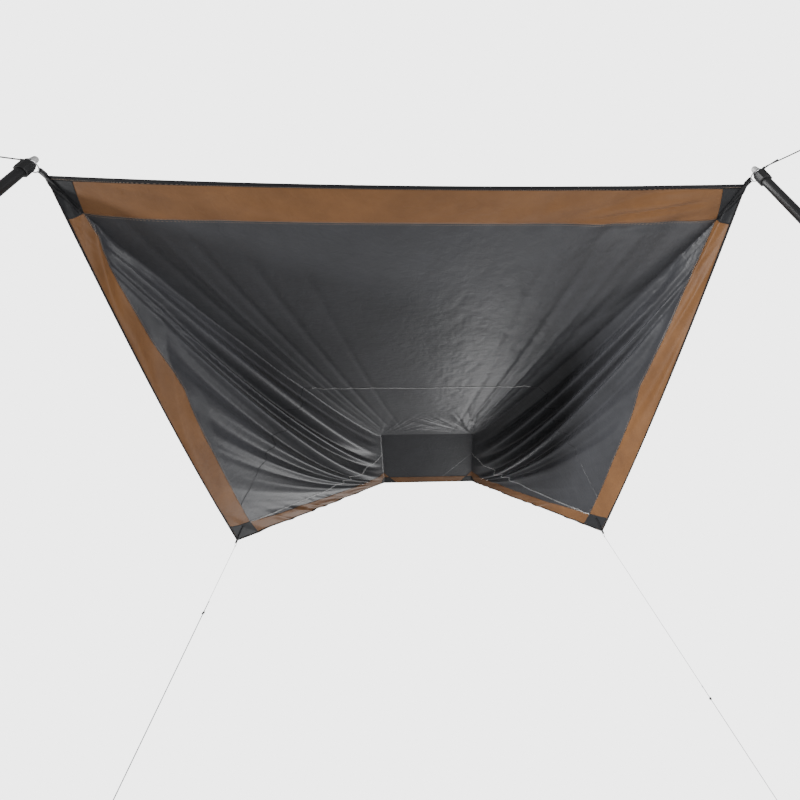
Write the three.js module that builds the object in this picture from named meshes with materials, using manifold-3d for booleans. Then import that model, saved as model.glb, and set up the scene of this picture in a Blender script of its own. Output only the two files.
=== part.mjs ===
// A sun canopy: one sheet sewn from cloth panels, spread from a flat roof panel over two
// telescopic poles at its front corners and held down by a guyline at each side corner.
// Millimetres: +X across, +Y from the front edge back over the roof panel, +Z up.
// The origin is under the middle of the roof panel, on the face that rests on what carries it.
import * as THREE from "three";
import { mergeVertices } from "three/addons/utils/BufferGeometryUtils.js";
import Module from "manifold-3d";

const wasm = await Module();
wasm.setup();

// Spread of the sheet: plan distances are measured from the front edge of the roof panel
const frontHalfWidth = 1320;
const frontReach = 3780;
const frontDrop = 1565;
const sideHalfWidth = 1320;
const sideReach = 1350;
const sideDrop = 1894;
const roofHalfFront = 550;
const roofHalfRear = 600;
const roofLength = 1120;
const cornerHeight = 2054; // of the front corners above the ground

// How far the cloth hangs below the straight lines between its corners
const frontEdgeSag = 50;
const sideEdgeSag = 35;
const panelSag = 100;
const creaseSag = 120;
const creaseFullness = 0.55;

// Cloth, seams and edge binding
const clothThickness = 1;
const seamGap = 0.6;
const borderWidth = 200; // of the front and side borders
const rearBorderWidth = 140;
const crossSeamFromFront = 2120;
const diagonalSeamShare = 0.37; // of the roof panel's side, from its front edge
const bindingWidth = 17;
const bindingLeaf = 0.7;
const fit = 0.3;
const overrun = 5; // of a cutter past the piece that it cuts

// Folds of the wings: each row is a fold line's place in the fan and its height, as shares
const foldHeight = 62;
const foldFullness = 1.5;
const fanSpread = 0.15;
const leftFoldShares = [
  [0, 0],
  [0.18, 0.3],
  [0.36, 1],
  [0.51, -0.75],
  [0.6, 0.3],
  [0.7, -0.7],
  [0.87, 0.8],
  [1.07, -0.5],
  [1.185, 0.5],
  [1.29, -0.35],
  [1.38, 0.25],
  [1.465, -0.25],
  [1.58, 0.1],
  [1.76, -0.1],
  [2, 0],
];
const rightFoldShares = [
  [0, 0],
  [0.2, -0.4],
  [0.42, 0.8],
  [0.55, -0.6],
  [0.7, 0.6],
  [0.85, -0.6],
  [1, 0.8],
  [1.12, -0.4],
  [1.2, 0.35],
  [1.3, -0.35],
  [1.42, 0.2],
  [1.56, -0.15],
  [1.76, 0.1],
  [2, 0],
];
const centreColumns = 12;
const rows = 10;
const rowCrowding = 0.6; // of the rows towards the roof edge and the outer edge

// Webbing straps on the corners, and the loop that each ends in
const webbingWidth = 36;
const webbingThickness = 1.5;
const strapMargin = 18; // that a strap runs on, past the seam of its patch and past its loop
const slopeSpan = 25; // of the cloth at a corner that gives the strap its slope
const ringLoopWidth = 18;
const ringLoopReach = 20;
const lineLoopWidth = 10;
const lineLoopReach = 16;

// Ring on each front corner
const ringRadius = 22.75; // to the middle of the wire
const wireRadius = 2.25;

// Telescopic poles, from the rubber foot up
const bottomTubeRadius = 19;
const middleTubeRadius = 16;
const topTubeRadius = 13;
const tubeWall = 1.5;
const footRadius = 26;
const footHeight = 45;
const footSole = 12;
const bottomTubeLength = 1040;
const middleTubeOverlap = 150;
const topTubeLength = 800;
const collarRadius = 22.5;
const collarLength = 55;
const collarGrip = 32; // length of the collar on the wider tube
const collarFlutes = 10;
const flutePoints = 3;
const fluteDepth = 1.8;
const collarBevel = 2.5;
const tipRadius = 8;
const tipLength = 40;
const tipSpigot = 20;
const tipShares = { shoulder: 0.25, waist: 0.6, neck: 0.85, cap: 0.95 }; // of its length
const tubeAboveRing = 12;

// Guylines: the black ones run from the pole tips, the light ones from the side corners
const frontLineRadius = 2.5;
const sideLineRadius = 1.5;
const knotLength = 15;
const knotRings = 5;
const knotRadiusShare = 2.1; // of the line's own radius
const sideEyeRadius = 9;
const strandSpacing = 24;
const runnerThickness = 9;
const runnerWidth = 13;

// How finely round shapes are cut into facets
const turnSegments = 24;
const wireSegments = 8;
const loopSegments = 8;
const runnerSegments = 6;
const frontLineSides = 10;
const sideLineSides = 8;
const frontLineSteps = 14;
const sideLineSteps = 8;
const bendSteps = 10;
const eyeSides = 6;
const eyeSegments = 16;
const knotSides = 10;

// Routes of the guylines, each from its knot: along the line, then across it
const frontRouteLeft = [
  [0, 0],
  [15, -0.4],
  [30, -0.9],
  [45, -1.3],
  [60, -1.7],
  [75, -2],
  [90, -2.2],
  [105, -2.3],
  [120, -2.2],
  [135, -2],
  [150, -1.7],
  [165, -1.3],
  [180, -0.9],
  [195, -0.4],
  [210, 0],
];
const frontRouteRight = [
  [0, 0],
  [15, -0.4],
  [31, -0.9],
  [48, -1.4],
  [65, -1.9],
  [82, -2.3],
  [99, -2.5],
  [116, -2.6],
  [133, -2.5],
  [150, -2.3],
  [167, -1.9],
  [184, -1.4],
  [201, -0.9],
  [218, -0.4],
  [232, 0],
];
const sideRouteLeft = [
  [0, 0],
  [190, 0],
  [380, 0],
  [570, 0],
  [760, 0],
  [950, 0],
  [1140, 0],
  [1330, 0],
  [1510, 0],
  [1680, 0],
  [1686, 1.6],
  [1690.4, 6],
  [1692, 12],
  [1690.4, 18],
  [1686, 22.4],
  [1680, 24],
  [1500, 24],
  [1300, 24],
  [1100, 24],
  [900, 24],
  [700, 24],
  [550, 24],
  [400, 24],
];
const sideRouteRight = [
  [0, 0],
  [200, 0],
  [400, 0],
  [600, 0],
  [800, 0],
  [1000, 0],
  [1200, 0],
  [1400, 0],
  [1580, 0],
  [1742, 0],
  [1748, 1.6],
  [1752.4, 6],
  [1754, 12],
  [1752.4, 18],
  [1748, 22.4],
  [1742, 24],
  [1640, 24],
  [1540, 24],
  [1440, 24],
  [1340, 24],
  [1240, 24],
  [1140, 24],
  [1040, 24],
];
const frontLineAimShares = { left: [-0.8, -0.38, -0.47], right: [0.43, -0.73, -0.53] };
const sideLineAimShares = { left: [-0.15, -0.1, -1], right: [0.3, -0.15, -1] };
const runnerAt = { left: 460, right: 1100 };

// Finishes
const materials = {
  cloth: finish(0x3f4146, 0.75, 0),
  border: finish(0x7d5a3c, 0.8, 0),
  patch: finish(0x2c2e33, 0.85, 0),
  binding: finish(0x1d1f24, 0.9, 0),
  webbing: finish(0x15161a, 0.9, 0),
  chrome: finish(0xc9cbce, 0.25, 1),
  blackTube: finish(0x18191b, 0.45, 0.4),
  blackPlastic: finish(0x1a1b1d, 0.6, 0),
  aluminium: finish(0xb9bbbd, 0.4, 1),
  tip: finish(0xcfd0d0, 0.5, 0.2),
  rubber: finish(0x121212, 0.95, 0),
  blackCord: finish(0x17181b, 0.9, 0),
  lightCord: finish(0xb9bcc2, 0.85, 0),
};

function finish(color, roughness, metalness) {
  return new THREE.MeshStandardMaterial({ color, roughness, metalness });
}

const canopy = new THREE.Group();

function addNode(name, geometry, material) {
  const mesh = new THREE.Mesh(geometry, material);
  mesh.name = name;
  canopy.add(mesh);
}

// Solids: a closed geometry as a manifold, and back
function solidOf(geometry) {
  const bare = geometry.clone();
  bare.deleteAttribute("normal");
  bare.deleteAttribute("uv");
  const merged = mergeVertices(bare);
  return new wasm.Manifold(
    new wasm.Mesh({
      numProp: 3,
      vertProperties: new Float32Array(merged.attributes.position.array),
      triVerts: new Uint32Array(merged.index.array),
    }),
  );
}

function geometryOf(solid) {
  const mesh = solid.getMesh();
  const geometry = new THREE.BufferGeometry();
  geometry.setAttribute("position", new THREE.BufferAttribute(mesh.vertProperties, 3));
  geometry.setIndex(new THREE.BufferAttribute(mesh.triVerts, 1));
  return geometry;
}

function join(...geometries) {
  const solids = geometries.map(solidOf);
  return geometryOf(solids.reduce((whole, next) => whole.add(next)));
}

function carve(geometry, ...cutters) {
  const solids = cutters.map(solidOf);
  return geometryOf(solids.reduce((whole, next) => whole.subtract(next), solidOf(geometry)));
}

// The corners of the spread sheet, and of the same sheet laid out flat on the cutting table
const roofFrontY = -roofLength / 2;
const corner = {
  front: new THREE.Vector3(frontHalfWidth, roofFrontY - frontReach, -frontDrop),
  side: new THREE.Vector3(sideHalfWidth, roofFrontY - sideReach, -sideDrop),
  roofFront: new THREE.Vector3(roofHalfFront, roofFrontY, 0),
  roofRear: new THREE.Vector3(roofHalfRear, roofFrontY + roofLength, 0),
};
const panelLength = Math.hypot(frontReach, frontDrop);
const flat = {
  front: new THREE.Vector2(frontHalfWidth, 0),
  roofFront: new THREE.Vector2(roofHalfFront, panelLength),
  roofRear: new THREE.Vector2(roofHalfRear, panelLength + roofLength),
};
flat.side = outerMeeting(
  flat.front,
  corner.front.distanceTo(corner.side),
  flat.roofFront,
  corner.roofFront.distanceTo(corner.side),
);

// The point at the given distances from a and b, on the outer side of the line between them
function outerMeeting(a, fromA, b, fromB) {
  const span = b.clone().sub(a);
  const length = span.length();
  const along = (fromA ** 2 - fromB ** 2 + length ** 2) / (2 * length);
  const out = Math.sqrt(fromA ** 2 - along ** 2);
  const unit = span.divideScalar(length);
  return new THREE.Vector2(
    a.x + unit.x * along + unit.y * out,
    a.y + unit.y * along - unit.x * out,
  );
}

function mirrored(point, side) {
  const copy = point.clone();
  copy.x *= side;
  return copy;
}

// The sheet's shape. Down is the share of the way from the roof panel to the outer edge.
function belly(down) {
  return 4 * down * (1 - down);
}

function centreVertex(across, down) {
  const outer = corner.front.clone();
  outer.x *= across;
  outer.z -= frontEdgeSag * (1 - across ** 2);
  const inner = corner.roofFront.clone();
  inner.x *= across;
  const place = inner.lerp(outer, down);
  const middle = panelSag * belly(down);
  const crease = creaseSag * belly(down) ** creaseFullness;
  place.z -= THREE.MathUtils.lerp(middle, crease, across ** 2);
  const onTable = new THREE.Vector2(flat.roofFront.x * across, flat.roofFront.y);
  onTable.lerp(new THREE.Vector2(flat.front.x * across, flat.front.y), down);
  return { flat: onTable, place };
}

// Where a fold line of the fan stands along the wing: the first half of the lines spreads
// from the front corner to the roof edge, the second half from the outer edge to the rear.
function fanShare(fold, down) {
  const straight = fold <= 1 ? fold * (1 - down) : 1 - down * (2 - fold);
  return (1 - fanSpread) * straight + (fanSpread * fold) / 2;
}

const wingInward = corner.side
  .clone()
  .sub(corner.roofFront)
  .cross(corner.front.clone().sub(corner.roofFront))
  .normalize();
wingInward.multiplyScalar(-Math.sign(wingInward.x));

function wingVertex(side, fold, height, down) {
  const along = fanShare(fold, down);
  const place = corner.roofFront.clone().lerp(corner.roofRear, along);
  place.lerp(corner.front.clone().lerp(corner.side, along), down);
  place.z -= sideEdgeSag * belly(along) * down;
  place.z -= creaseSag * belly(down) ** creaseFullness * (1 - along ** 4);
  place.addScaledVector(wingInward, foldHeight * height * belly(down) ** foldFullness);
  const onTable = flat.roofFront.clone().lerp(flat.roofRear, along);
  onTable.lerp(flat.front.clone().lerp(flat.side, along), down);
  return { flat: mirrored(onTable, side), place: mirrored(place, side) };
}

// The draped sheet: vertices that know their place on the table and in space, and the facets
// between them. Every cloth piece is cut from these facets, so neighbours match along seams.
const vertices = [];
const facets = [];

function addVertex(vertex) {
  vertices.push(vertex);
  return vertices.length - 1;
}

function addFacet(a, b, c) {
  const [p, q, r] = [a, b, c].map((index) => vertices[index].flat);
  const turn = (q.x - p.x) * (r.y - p.y) - (q.y - p.y) * (r.x - p.x);
  facets.push(turn > 0 ? [a, b, c] : [a, c, b]);
}

function addStrip(columns) {
  columns.slice(1).forEach((column, index) => {
    const before = columns[index];
    for (let row = 0; row < rows; row++) {
      addFacet(before[row], before[row + 1], column[row]);
      addFacet(before[row + 1], column[row + 1], column[row]);
    }
  });
}

// Rows lie closer together near the roof edge and the outer edge, where the cloth curves most
const downShares = Array.from({ length: rows + 1 }, (_, row) => {
  const even = row / rows;
  return even + (rowCrowding * Math.sin(2 * Math.PI * (even + 0.5))) / (2 * Math.PI);
});

const centre = Array.from({ length: centreColumns + 1 }, (_, column) =>
  downShares.map((down) => addVertex(centreVertex((2 * column) / centreColumns - 1, down))),
);

function wing(side, foldShares, crease) {
  const outward = foldShares.slice(1);
  return [
    crease,
    ...outward.map(([fold, height]) =>
      downShares.map((down) => addVertex(wingVertex(side, fold, height, down))),
    ),
  ];
}

const leftWing = wing(-1, leftFoldShares, centre[0]);
const rightWing = wing(1, rightFoldShares, centre.at(-1));
[centre, leftWing, rightWing].forEach(addStrip);

// The roof panel is flat: a fan of facets from its middle to its rim
const roofRim = [
  ...centre.map((column) => column[0]),
  ...rightWing.slice(1).map((column) => column[0]),
  ...leftWing
    .slice(1)
    .reverse()
    .map((column) => column[0]),
];
const roofMiddle = addVertex({
  flat: new THREE.Vector2(0, panelLength + roofLength / 2),
  place: new THREE.Vector3(0, roofFrontY + roofLength / 2, 0),
});
roofRim.forEach((vertex, index) => {
  addFacet(roofMiddle, vertex, roofRim[(index + 1) % roofRim.length]);
});

// A vertex is offset so that each facet round it keeps the cloth's thickness, also at a crease
function setOffsets() {
  const normals = vertices.map(() => []);
  for (const facet of facets) {
    const [p, q, r] = facet.map((index) => vertices[index].place);
    const normal = q.clone().sub(p).cross(r.clone().sub(p)).normalize();
    facet.forEach((index) => normals[index].push(normal));
  }
  vertices.forEach((vertex, index) => {
    const mean = new THREE.Vector3();
    normals[index].forEach((normal) => mean.add(normal));
    mean.normalize();
    const reach = Math.min(...normals[index].map((normal) => normal.dot(mean)));
    vertex.offset = mean.divideScalar((1 + reach) / 2);
  });
}
setOffsets();

// Edges of the flat sheet, counter-clockwise, so that the cloth lies to the left of each
function edge(from, to) {
  const along = to.clone().sub(from).normalize();
  return { from, inward: new THREE.Vector2(-along.y, along.x) };
}

function inside(line, point) {
  return point.clone().sub(line.from).dot(line.inward);
}

const edges = {
  front: edge(mirrored(flat.front, -1), flat.front),
  rightSide: edge(flat.front, flat.side),
  rightRear: edge(flat.side, flat.roofRear),
  rear: edge(flat.roofRear, mirrored(flat.roofRear, -1)),
  leftRear: edge(mirrored(flat.roofRear, -1), mirrored(flat.side, -1)),
  leftSide: edge(mirrored(flat.side, -1), mirrored(flat.front, -1)),
};
const edgeNames = Object.keys(edges);

// Limits of a cloth piece: the least or the greatest distance that it keeps from a line
const beyond = (line, distance) => ({ line, distance, keeps: 1 });
const within = (line, distance) => ({ line, distance, keeps: -1 });

// The point of depth zero between two vertices, the same whichever of them comes first
function between(a, b, depthA, depthB) {
  const ordered = a.flat.x < b.flat.x || (a.flat.x === b.flat.x && a.flat.y < b.flat.y);
  if (!ordered) return between(b, a, depthB, depthA);
  const share = depthA / (depthA - depthB);
  return {
    flat: a.flat.clone().lerp(b.flat, share),
    place: a.place.clone().lerp(b.place, share),
    offset: a.offset.clone().lerp(b.offset, share),
  };
}

// The part of a polygon inside a limit. A vertex nearer to the line than onLine counts as on it.
const onLine = 0.04;
function clip(polygon, limit) {
  const depths = polygon.map(({ flat: point }) => {
    const depth = limit.keeps * (inside(limit.line, point) - limit.distance);
    return Math.abs(depth) < onLine ? 0 : depth;
  });
  const kept = [];
  polygon.forEach((vertex, index) => {
    const next = (index + 1) % polygon.length;
    if (depths[index] >= 0) kept.push(vertex);
    if (depths[index] * depths[next] < 0) {
      kept.push(between(vertex, polygon[next], depths[index], depths[next]));
    }
  });
  return depths.some((depth) => depth > 0) ? kept : [];
}

function region(...limits) {
  return facets
    .map((facet) => limits.reduce(clip, facet.map((index) => vertices[index])))
    .filter((polygon) => polygon.length > 2);
}

// Thickens a region of the sheet from one offset to another into a closed solid
function thicken(polygons, low, high) {
  const numbers = new Map();
  const corners = [];
  const numberOf = (vertex) => {
    const key = vertex.flat.x + "," + vertex.flat.y;
    if (!numbers.has(key)) {
      numbers.set(key, corners.length);
      corners.push(vertex);
    }
    return numbers.get(key);
  };
  const rings = polygons.map((polygon) => polygon.map(numberOf));
  const count = corners.length;
  const index = [];
  const rim = new Map();
  for (const ring of rings) {
    for (let last = 2; last < ring.length; last++) {
      const [a, b, c] = [ring[0], ring[last - 1], ring[last]];
      index.push(a + count, b + count, c + count, a, c, b);
    }
    ring.forEach((from, place) => {
      const to = ring[(place + 1) % ring.length];
      if (!rim.delete(to + ":" + from)) rim.set(from + ":" + to, [from, to]);
    });
  }
  for (const [from, to] of rim.values()) {
    index.push(from, to, to + count, from, to + count, from + count);
  }
  const geometry = new THREE.BufferGeometry();
  const layers = [low, high].flatMap((height) =>
    corners.flatMap(({ place, offset }) =>
      place.clone().addScaledVector(offset, height).toArray(),
    ),
  );
  geometry.setAttribute("position", new THREE.Float32BufferAttribute(layers, 3));
  geometry.setIndex(index);
  return geometry;
}

function clothPiece(name, material, ...limits) {
  addNode(name, thicken(region(...limits), 0, clothThickness), material);
}

// Panels inside the borders, parted by the cross seam and the two diagonal seams
const halfGap = seamGap / 2;
const rearNames = ["rightRear", "rear", "leftRear"];
for (const name of edgeNames) {
  edges[name].width = rearNames.includes(name) ? rearBorderWidth : borderWidth;
}
const clearOfBorders = edgeNames.map((name) => beyond(edges[name], edges[name].width + halfGap));
const crossSeam = { from: new THREE.Vector2(0, crossSeamFromFront), inward: new THREE.Vector2(0, 1) };

// The point where lines parallel to two edges meet, each at its own distance inside its edge
function meeting(a, fromA, b, fromB) {
  const turn = a.inward.x * b.inward.y - a.inward.y * b.inward.x;
  const reachA = a.inward.dot(a.from) + fromA;
  const reachB = b.inward.dot(b.from) + fromB;
  return new THREE.Vector2(
    (reachA * b.inward.y - reachB * a.inward.y) / turn,
    (reachB * a.inward.x - reachA * b.inward.x) / turn,
  );
}

const { rightSide, rightRear } = edges;
const seamFoot = meeting(rightSide, rightSide.width, rightRear, rightRear.width);
const seamHead = flat.roofFront.clone().lerp(flat.roofRear, diagonalSeamShare);
const diagonalSeams = {
  right: edge(seamFoot, seamHead),
  left: edge(mirrored(seamHead, -1), mirrored(seamFoot, -1)),
};

clothPiece("front_panel", materials.cloth, ...clearOfBorders, within(crossSeam, -halfGap));
clothPiece(
  "roof_panel",
  materials.cloth,
  ...clearOfBorders,
  beyond(crossSeam, halfGap),
  beyond(diagonalSeams.right, halfGap),
  beyond(diagonalSeams.left, halfGap),
);
for (const side of ["left", "right"]) {
  clothPiece(
    "rear_gore_" + side,
    materials.cloth,
    ...clearOfBorders,
    beyond(crossSeam, halfGap),
    within(diagonalSeams[side], -halfGap),
  );
}

// Borders, corner patches and the binding, edge by edge round the sheet
const clothStart = bindingWidth + seamGap;
const pieceNames = {
  front: "front",
  rightSide: "side",
  rightRear: "rear_side",
  rear: "rear",
  leftRear: "rear_side",
  leftSide: "side",
};
const patchNames = {
  front: "front_patch_right",
  rightSide: "side_patch_right",
  rightRear: "rear_patch_right",
  rear: "rear_patch_left",
  leftRear: "side_patch_left",
  leftSide: "front_patch_left",
};

function sideSuffix(edgeName) {
  if (edgeName.startsWith("left")) return "_left";
  return edgeName.startsWith("right") ? "_right" : "";
}

// The line that halves the corner where an edge begins, with the edge's own cloth on its left
function mitre(before, after) {
  const along = before.inward.clone().add(after.inward).normalize();
  return { from: after.from, inward: new THREE.Vector2(along.y, -along.x), along };
}

const mitres = edgeNames.map((name, index) => {
  const before = edges[edgeNames.at(index - 1)];
  return mitre(before, edges[name]);
});

edgeNames.forEach((name, index) => {
  const own = edges[name];
  const next = edges[edgeNames[(index + 1) % edgeNames.length]];
  const before = edges[edgeNames.at(index - 1)];
  const strip = [within(own, own.width - halfGap), beyond(own, clothStart)];
  clothPiece(
    pieceNames[name] + "_border" + sideSuffix(name),
    materials.border,
    ...strip,
    beyond(before, before.width + halfGap),
    beyond(next, next.width + halfGap),
  );
  clothPiece(
    patchNames[name],
    materials.patch,
    ...strip,
    within(next, next.width - halfGap),
    beyond(next, clothStart),
  );

  // The binding is a doubled tape along the edge, mitred at the corners
  const tape = region(
    within(own, bindingWidth),
    beyond(own, fit),
    beyond(mitres[index], halfGap),
    within(mitres[(index + 1) % mitres.length], -halfGap),
  );
  addNode(
    pieceNames[name] + "_binding" + sideSuffix(name),
    thicken(tape, -bindingLeaf, clothThickness + bindingLeaf),
    materials.binding,
  );
});

// The place and the offset of the draped sheet above a point of the flat sheet
const roundingShare = 1e-9;
function draped(point) {
  for (const facet of facets) {
    const [a, b, c] = facet.map((index) => vertices[index]);
    const whole = area(a.flat, b.flat, c.flat);
    const shares = [
      area(point, b.flat, c.flat) / whole,
      area(a.flat, point, c.flat) / whole,
      area(a.flat, b.flat, point) / whole,
    ];
    if (Math.min(...shares) < -roundingShare) continue;
    const mix = (key) =>
      [a, b, c].reduce(
        (sum, vertex, index) => sum.addScaledVector(vertex[key], shares[index]),
        new THREE.Vector3(),
      );
    return { place: mix("place"), offset: mix("offset") };
  }
  throw new Error("the point lies off the sheet");
}

function area(p, q, r) {
  return ((q.x - p.x) * (r.y - p.y) - (q.y - p.y) * (r.x - p.x)) / 2;
}

// A frame at a corner: x away from the cloth along the strap, z off the cloth, y across
function cornerFrame(index, upright) {
  const tip = mitres[index].from;
  const back = tip.clone().addScaledVector(mitres[index].along, slopeSpan);
  const end = draped(tip);
  const outward = end.place.clone().sub(draped(back).place).normalize();
  const off = upright ? new THREE.Vector3(0, 0, 1) : end.offset;
  const across = off.clone().cross(outward).normalize();
  const up = outward.clone().cross(across);
  return { origin: end.place, outward, across, up };
}

function frameMatrix({ origin, outward, across, up }) {
  return new THREE.Matrix4().makeBasis(outward, across, up).setPosition(origin);
}

// A teardrop loop of webbing, seen along its width: its bore lies reach away from the corner
function loopGeometry(reach, bore, width, level) {
  const outer = bore + webbingThickness;
  const half = webbingThickness / 2;
  const root = -strapMargin;
  const drop = (radius, pinch, start) => {
    const lean = Math.asin((radius - pinch) / (reach - start));
    const path = new THREE.Shape();
    path.absarc(reach, level, radius, -Math.PI / 2 - lean, Math.PI / 2 + lean, false);
    path.lineTo(start, level + pinch);
    if (pinch) path.lineTo(start, level - pinch);
    return path;
  };
  const outline = drop(outer, half, root + strapMargin);
  outline.holes.push(drop(bore, 0, bore / 2));
  const loop = new THREE.ExtrudeGeometry(outline, {
    depth: width,
    bevelEnabled: false,
    curveSegments: loopSegments,
  });
  loop.translate(0, 0, -width / 2);
  loop.rotateX(Math.PI / 2);
  const tail = new THREE.BoxGeometry(strapMargin + webbingThickness, width, webbingThickness);
  tail.translate((root + webbingThickness) / 2, 0, level);
  return join(loop, tail);
}

// Straps on the front and side patches, under the cloth
const strapTop = -bindingLeaf - fit;
const strapLevel = strapTop - webbingThickness / 2;

function strap(name, index, frame, reach, bore, width) {
  const { from, along } = mitres[index];
  const before = edges[edgeNames.at(index - 1)];
  const after = edges[edgeNames[index]];
  const middle = { from, inward: new THREE.Vector2(-along.y, along.x) };
  const sewn = thicken(
    region(
      beyond(middle, -webbingWidth / 2),
      within(middle, webbingWidth / 2),
      within(before, before.width - strapMargin),
      within(after, after.width - strapMargin),
    ),
    strapTop - webbingThickness,
    strapTop,
  );
  const cloth = thicken(
    region(within(before, before.width / 2), within(after, after.width / 2)),
    strapTop,
    clothThickness + bindingLeaf + fit,
  );
  const loop = loopGeometry(reach, bore, width, strapLevel).applyMatrix4(frameMatrix(frame));
  addNode(name, join(sewn, carve(loop, cloth)), materials.webbing);
}

// Round parts are lathed about Z from a profile of radii and heights, given from the bottom up
function turned(profile, segments = turnSegments) {
  const points = profile.map(([radius, height]) => new THREE.Vector2(radius, height));
  return new THREE.LatheGeometry(points, segments).rotateX(Math.PI / 2);
}

function pipe(radius, wall, bottom, top) {
  return turned([
    [radius - wall, bottom],
    [radius, bottom],
    [radius, top],
    [radius - wall, top],
    [radius - wall, bottom],
  ]);
}

// A twist-lock collar, fluted for grip: its upper face is at zero, the wider tube enters below
function collar(wideRadius, slimRadius) {
  const outline = new THREE.Shape();
  const steps = collarFlutes * flutePoints;
  for (let step = 0; step < steps; step++) {
    const turn = (2 * Math.PI * step) / steps;
    const radius = collarRadius - (fluteDepth * (1 - Math.cos(collarFlutes * turn))) / 2;
    const point = [radius * Math.cos(turn), radius * Math.sin(turn)];
    if (step) outline.lineTo(...point);
    else outline.moveTo(...point);
  }
  outline.closePath();
  const grip = new THREE.ExtrudeGeometry(outline, {
    depth: collarLength - 2 * collarBevel,
    bevelThickness: collarBevel,
    bevelSize: collarBevel,
    bevelOffset: -collarBevel,
    bevelSegments: 1,
  });
  grip.translate(0, 0, collarBevel - collarLength);
  const step = collarGrip - collarLength;
  const bore = turned([
    [0, -collarLength - overrun],
    [wideRadius + fit, -collarLength - overrun],
    [wideRadius + fit, step],
    [slimRadius + fit, step],
    [slimRadius + fit, overrun],
    [0, overrun],
  ]);
  return carve(grip, bore);
}

// A tube of round section along points
function line(points, radius, sides, steps) {
  const section = new THREE.Shape();
  for (let side = 0; side < sides; side++) {
    const turn = (2 * Math.PI * side) / sides;
    const point = [radius * Math.cos(turn), radius * Math.sin(turn)];
    if (side) section.lineTo(...point);
    else section.moveTo(...point);
  }
  section.closePath();
  const path =
    points.length > 2 ? new THREE.CatmullRomCurve3(points) : new THREE.LineCurve3(...points);
  return new THREE.ExtrudeGeometry(section, { steps, extrudePath: path });
}

// A frame along a guyline: x along it, y across it and level
function lineFrame(origin, aim) {
  const outward = aim.clone().normalize();
  const across = new THREE.Vector3(-outward.y, outward.x, 0).normalize();
  if (across.x < 0) across.negate();
  return { origin, outward, across, up: outward.clone().cross(across) };
}

function alongFrame({ origin, outward, across }, [along, aside]) {
  return origin.clone().addScaledVector(outward, along).addScaledVector(across, aside);
}

// A knot: an egg-shaped lump whose axis follows the line
function knot(frame, radius) {
  const half = knotLength / 2;
  const lump = Array.from({ length: knotRings + 1 }, (_, step) => {
    const turn = (Math.PI * step) / knotRings;
    return [radius * knotRadiusShare * Math.sin(turn), half - half * Math.cos(turn)];
  });
  lump[0][0] = 0;
  lump[knotRings][0] = 0;
  const geometry = turned(lump, knotSides);
  const { origin, outward, across } = frame;
  const basis = new THREE.Matrix4().makeBasis(across.clone(), outward.clone().cross(across), outward);
  return geometry.applyMatrix4(basis.setPosition(origin));
}

// An eye: a closed turn of line in the plane of two directions
function eye(middle, first, second, eyeRadius, radius) {
  const ring = new THREE.TorusGeometry(eyeRadius, radius, eyeSides, eyeSegments);
  const normal = first.clone().cross(second).normalize();
  const matrix = new THREE.Matrix4().makeBasis(first, normal.clone().cross(first), normal);
  return ring.applyMatrix4(matrix.setPosition(middle));
}

const cornerEdges = {
  front: { left: "front", right: "rightSide" },
  side: { left: "leftSide", right: "rightRear" },
};
const cornerIndex = (corner, side) => edgeNames.indexOf(cornerEdges[corner][side]);
const ground = corner.front.z - cornerHeight;

// The ring leans on the far side of the pole tip, so its middle is nearer to the cloth
const ringBore =
  ringRadius - Math.sqrt(ringRadius ** 2 - (ringLoopWidth / 2) ** 2) + wireRadius + fit;
const ringShift = ringRadius - wireRadius - topTubeRadius - fit;

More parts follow.
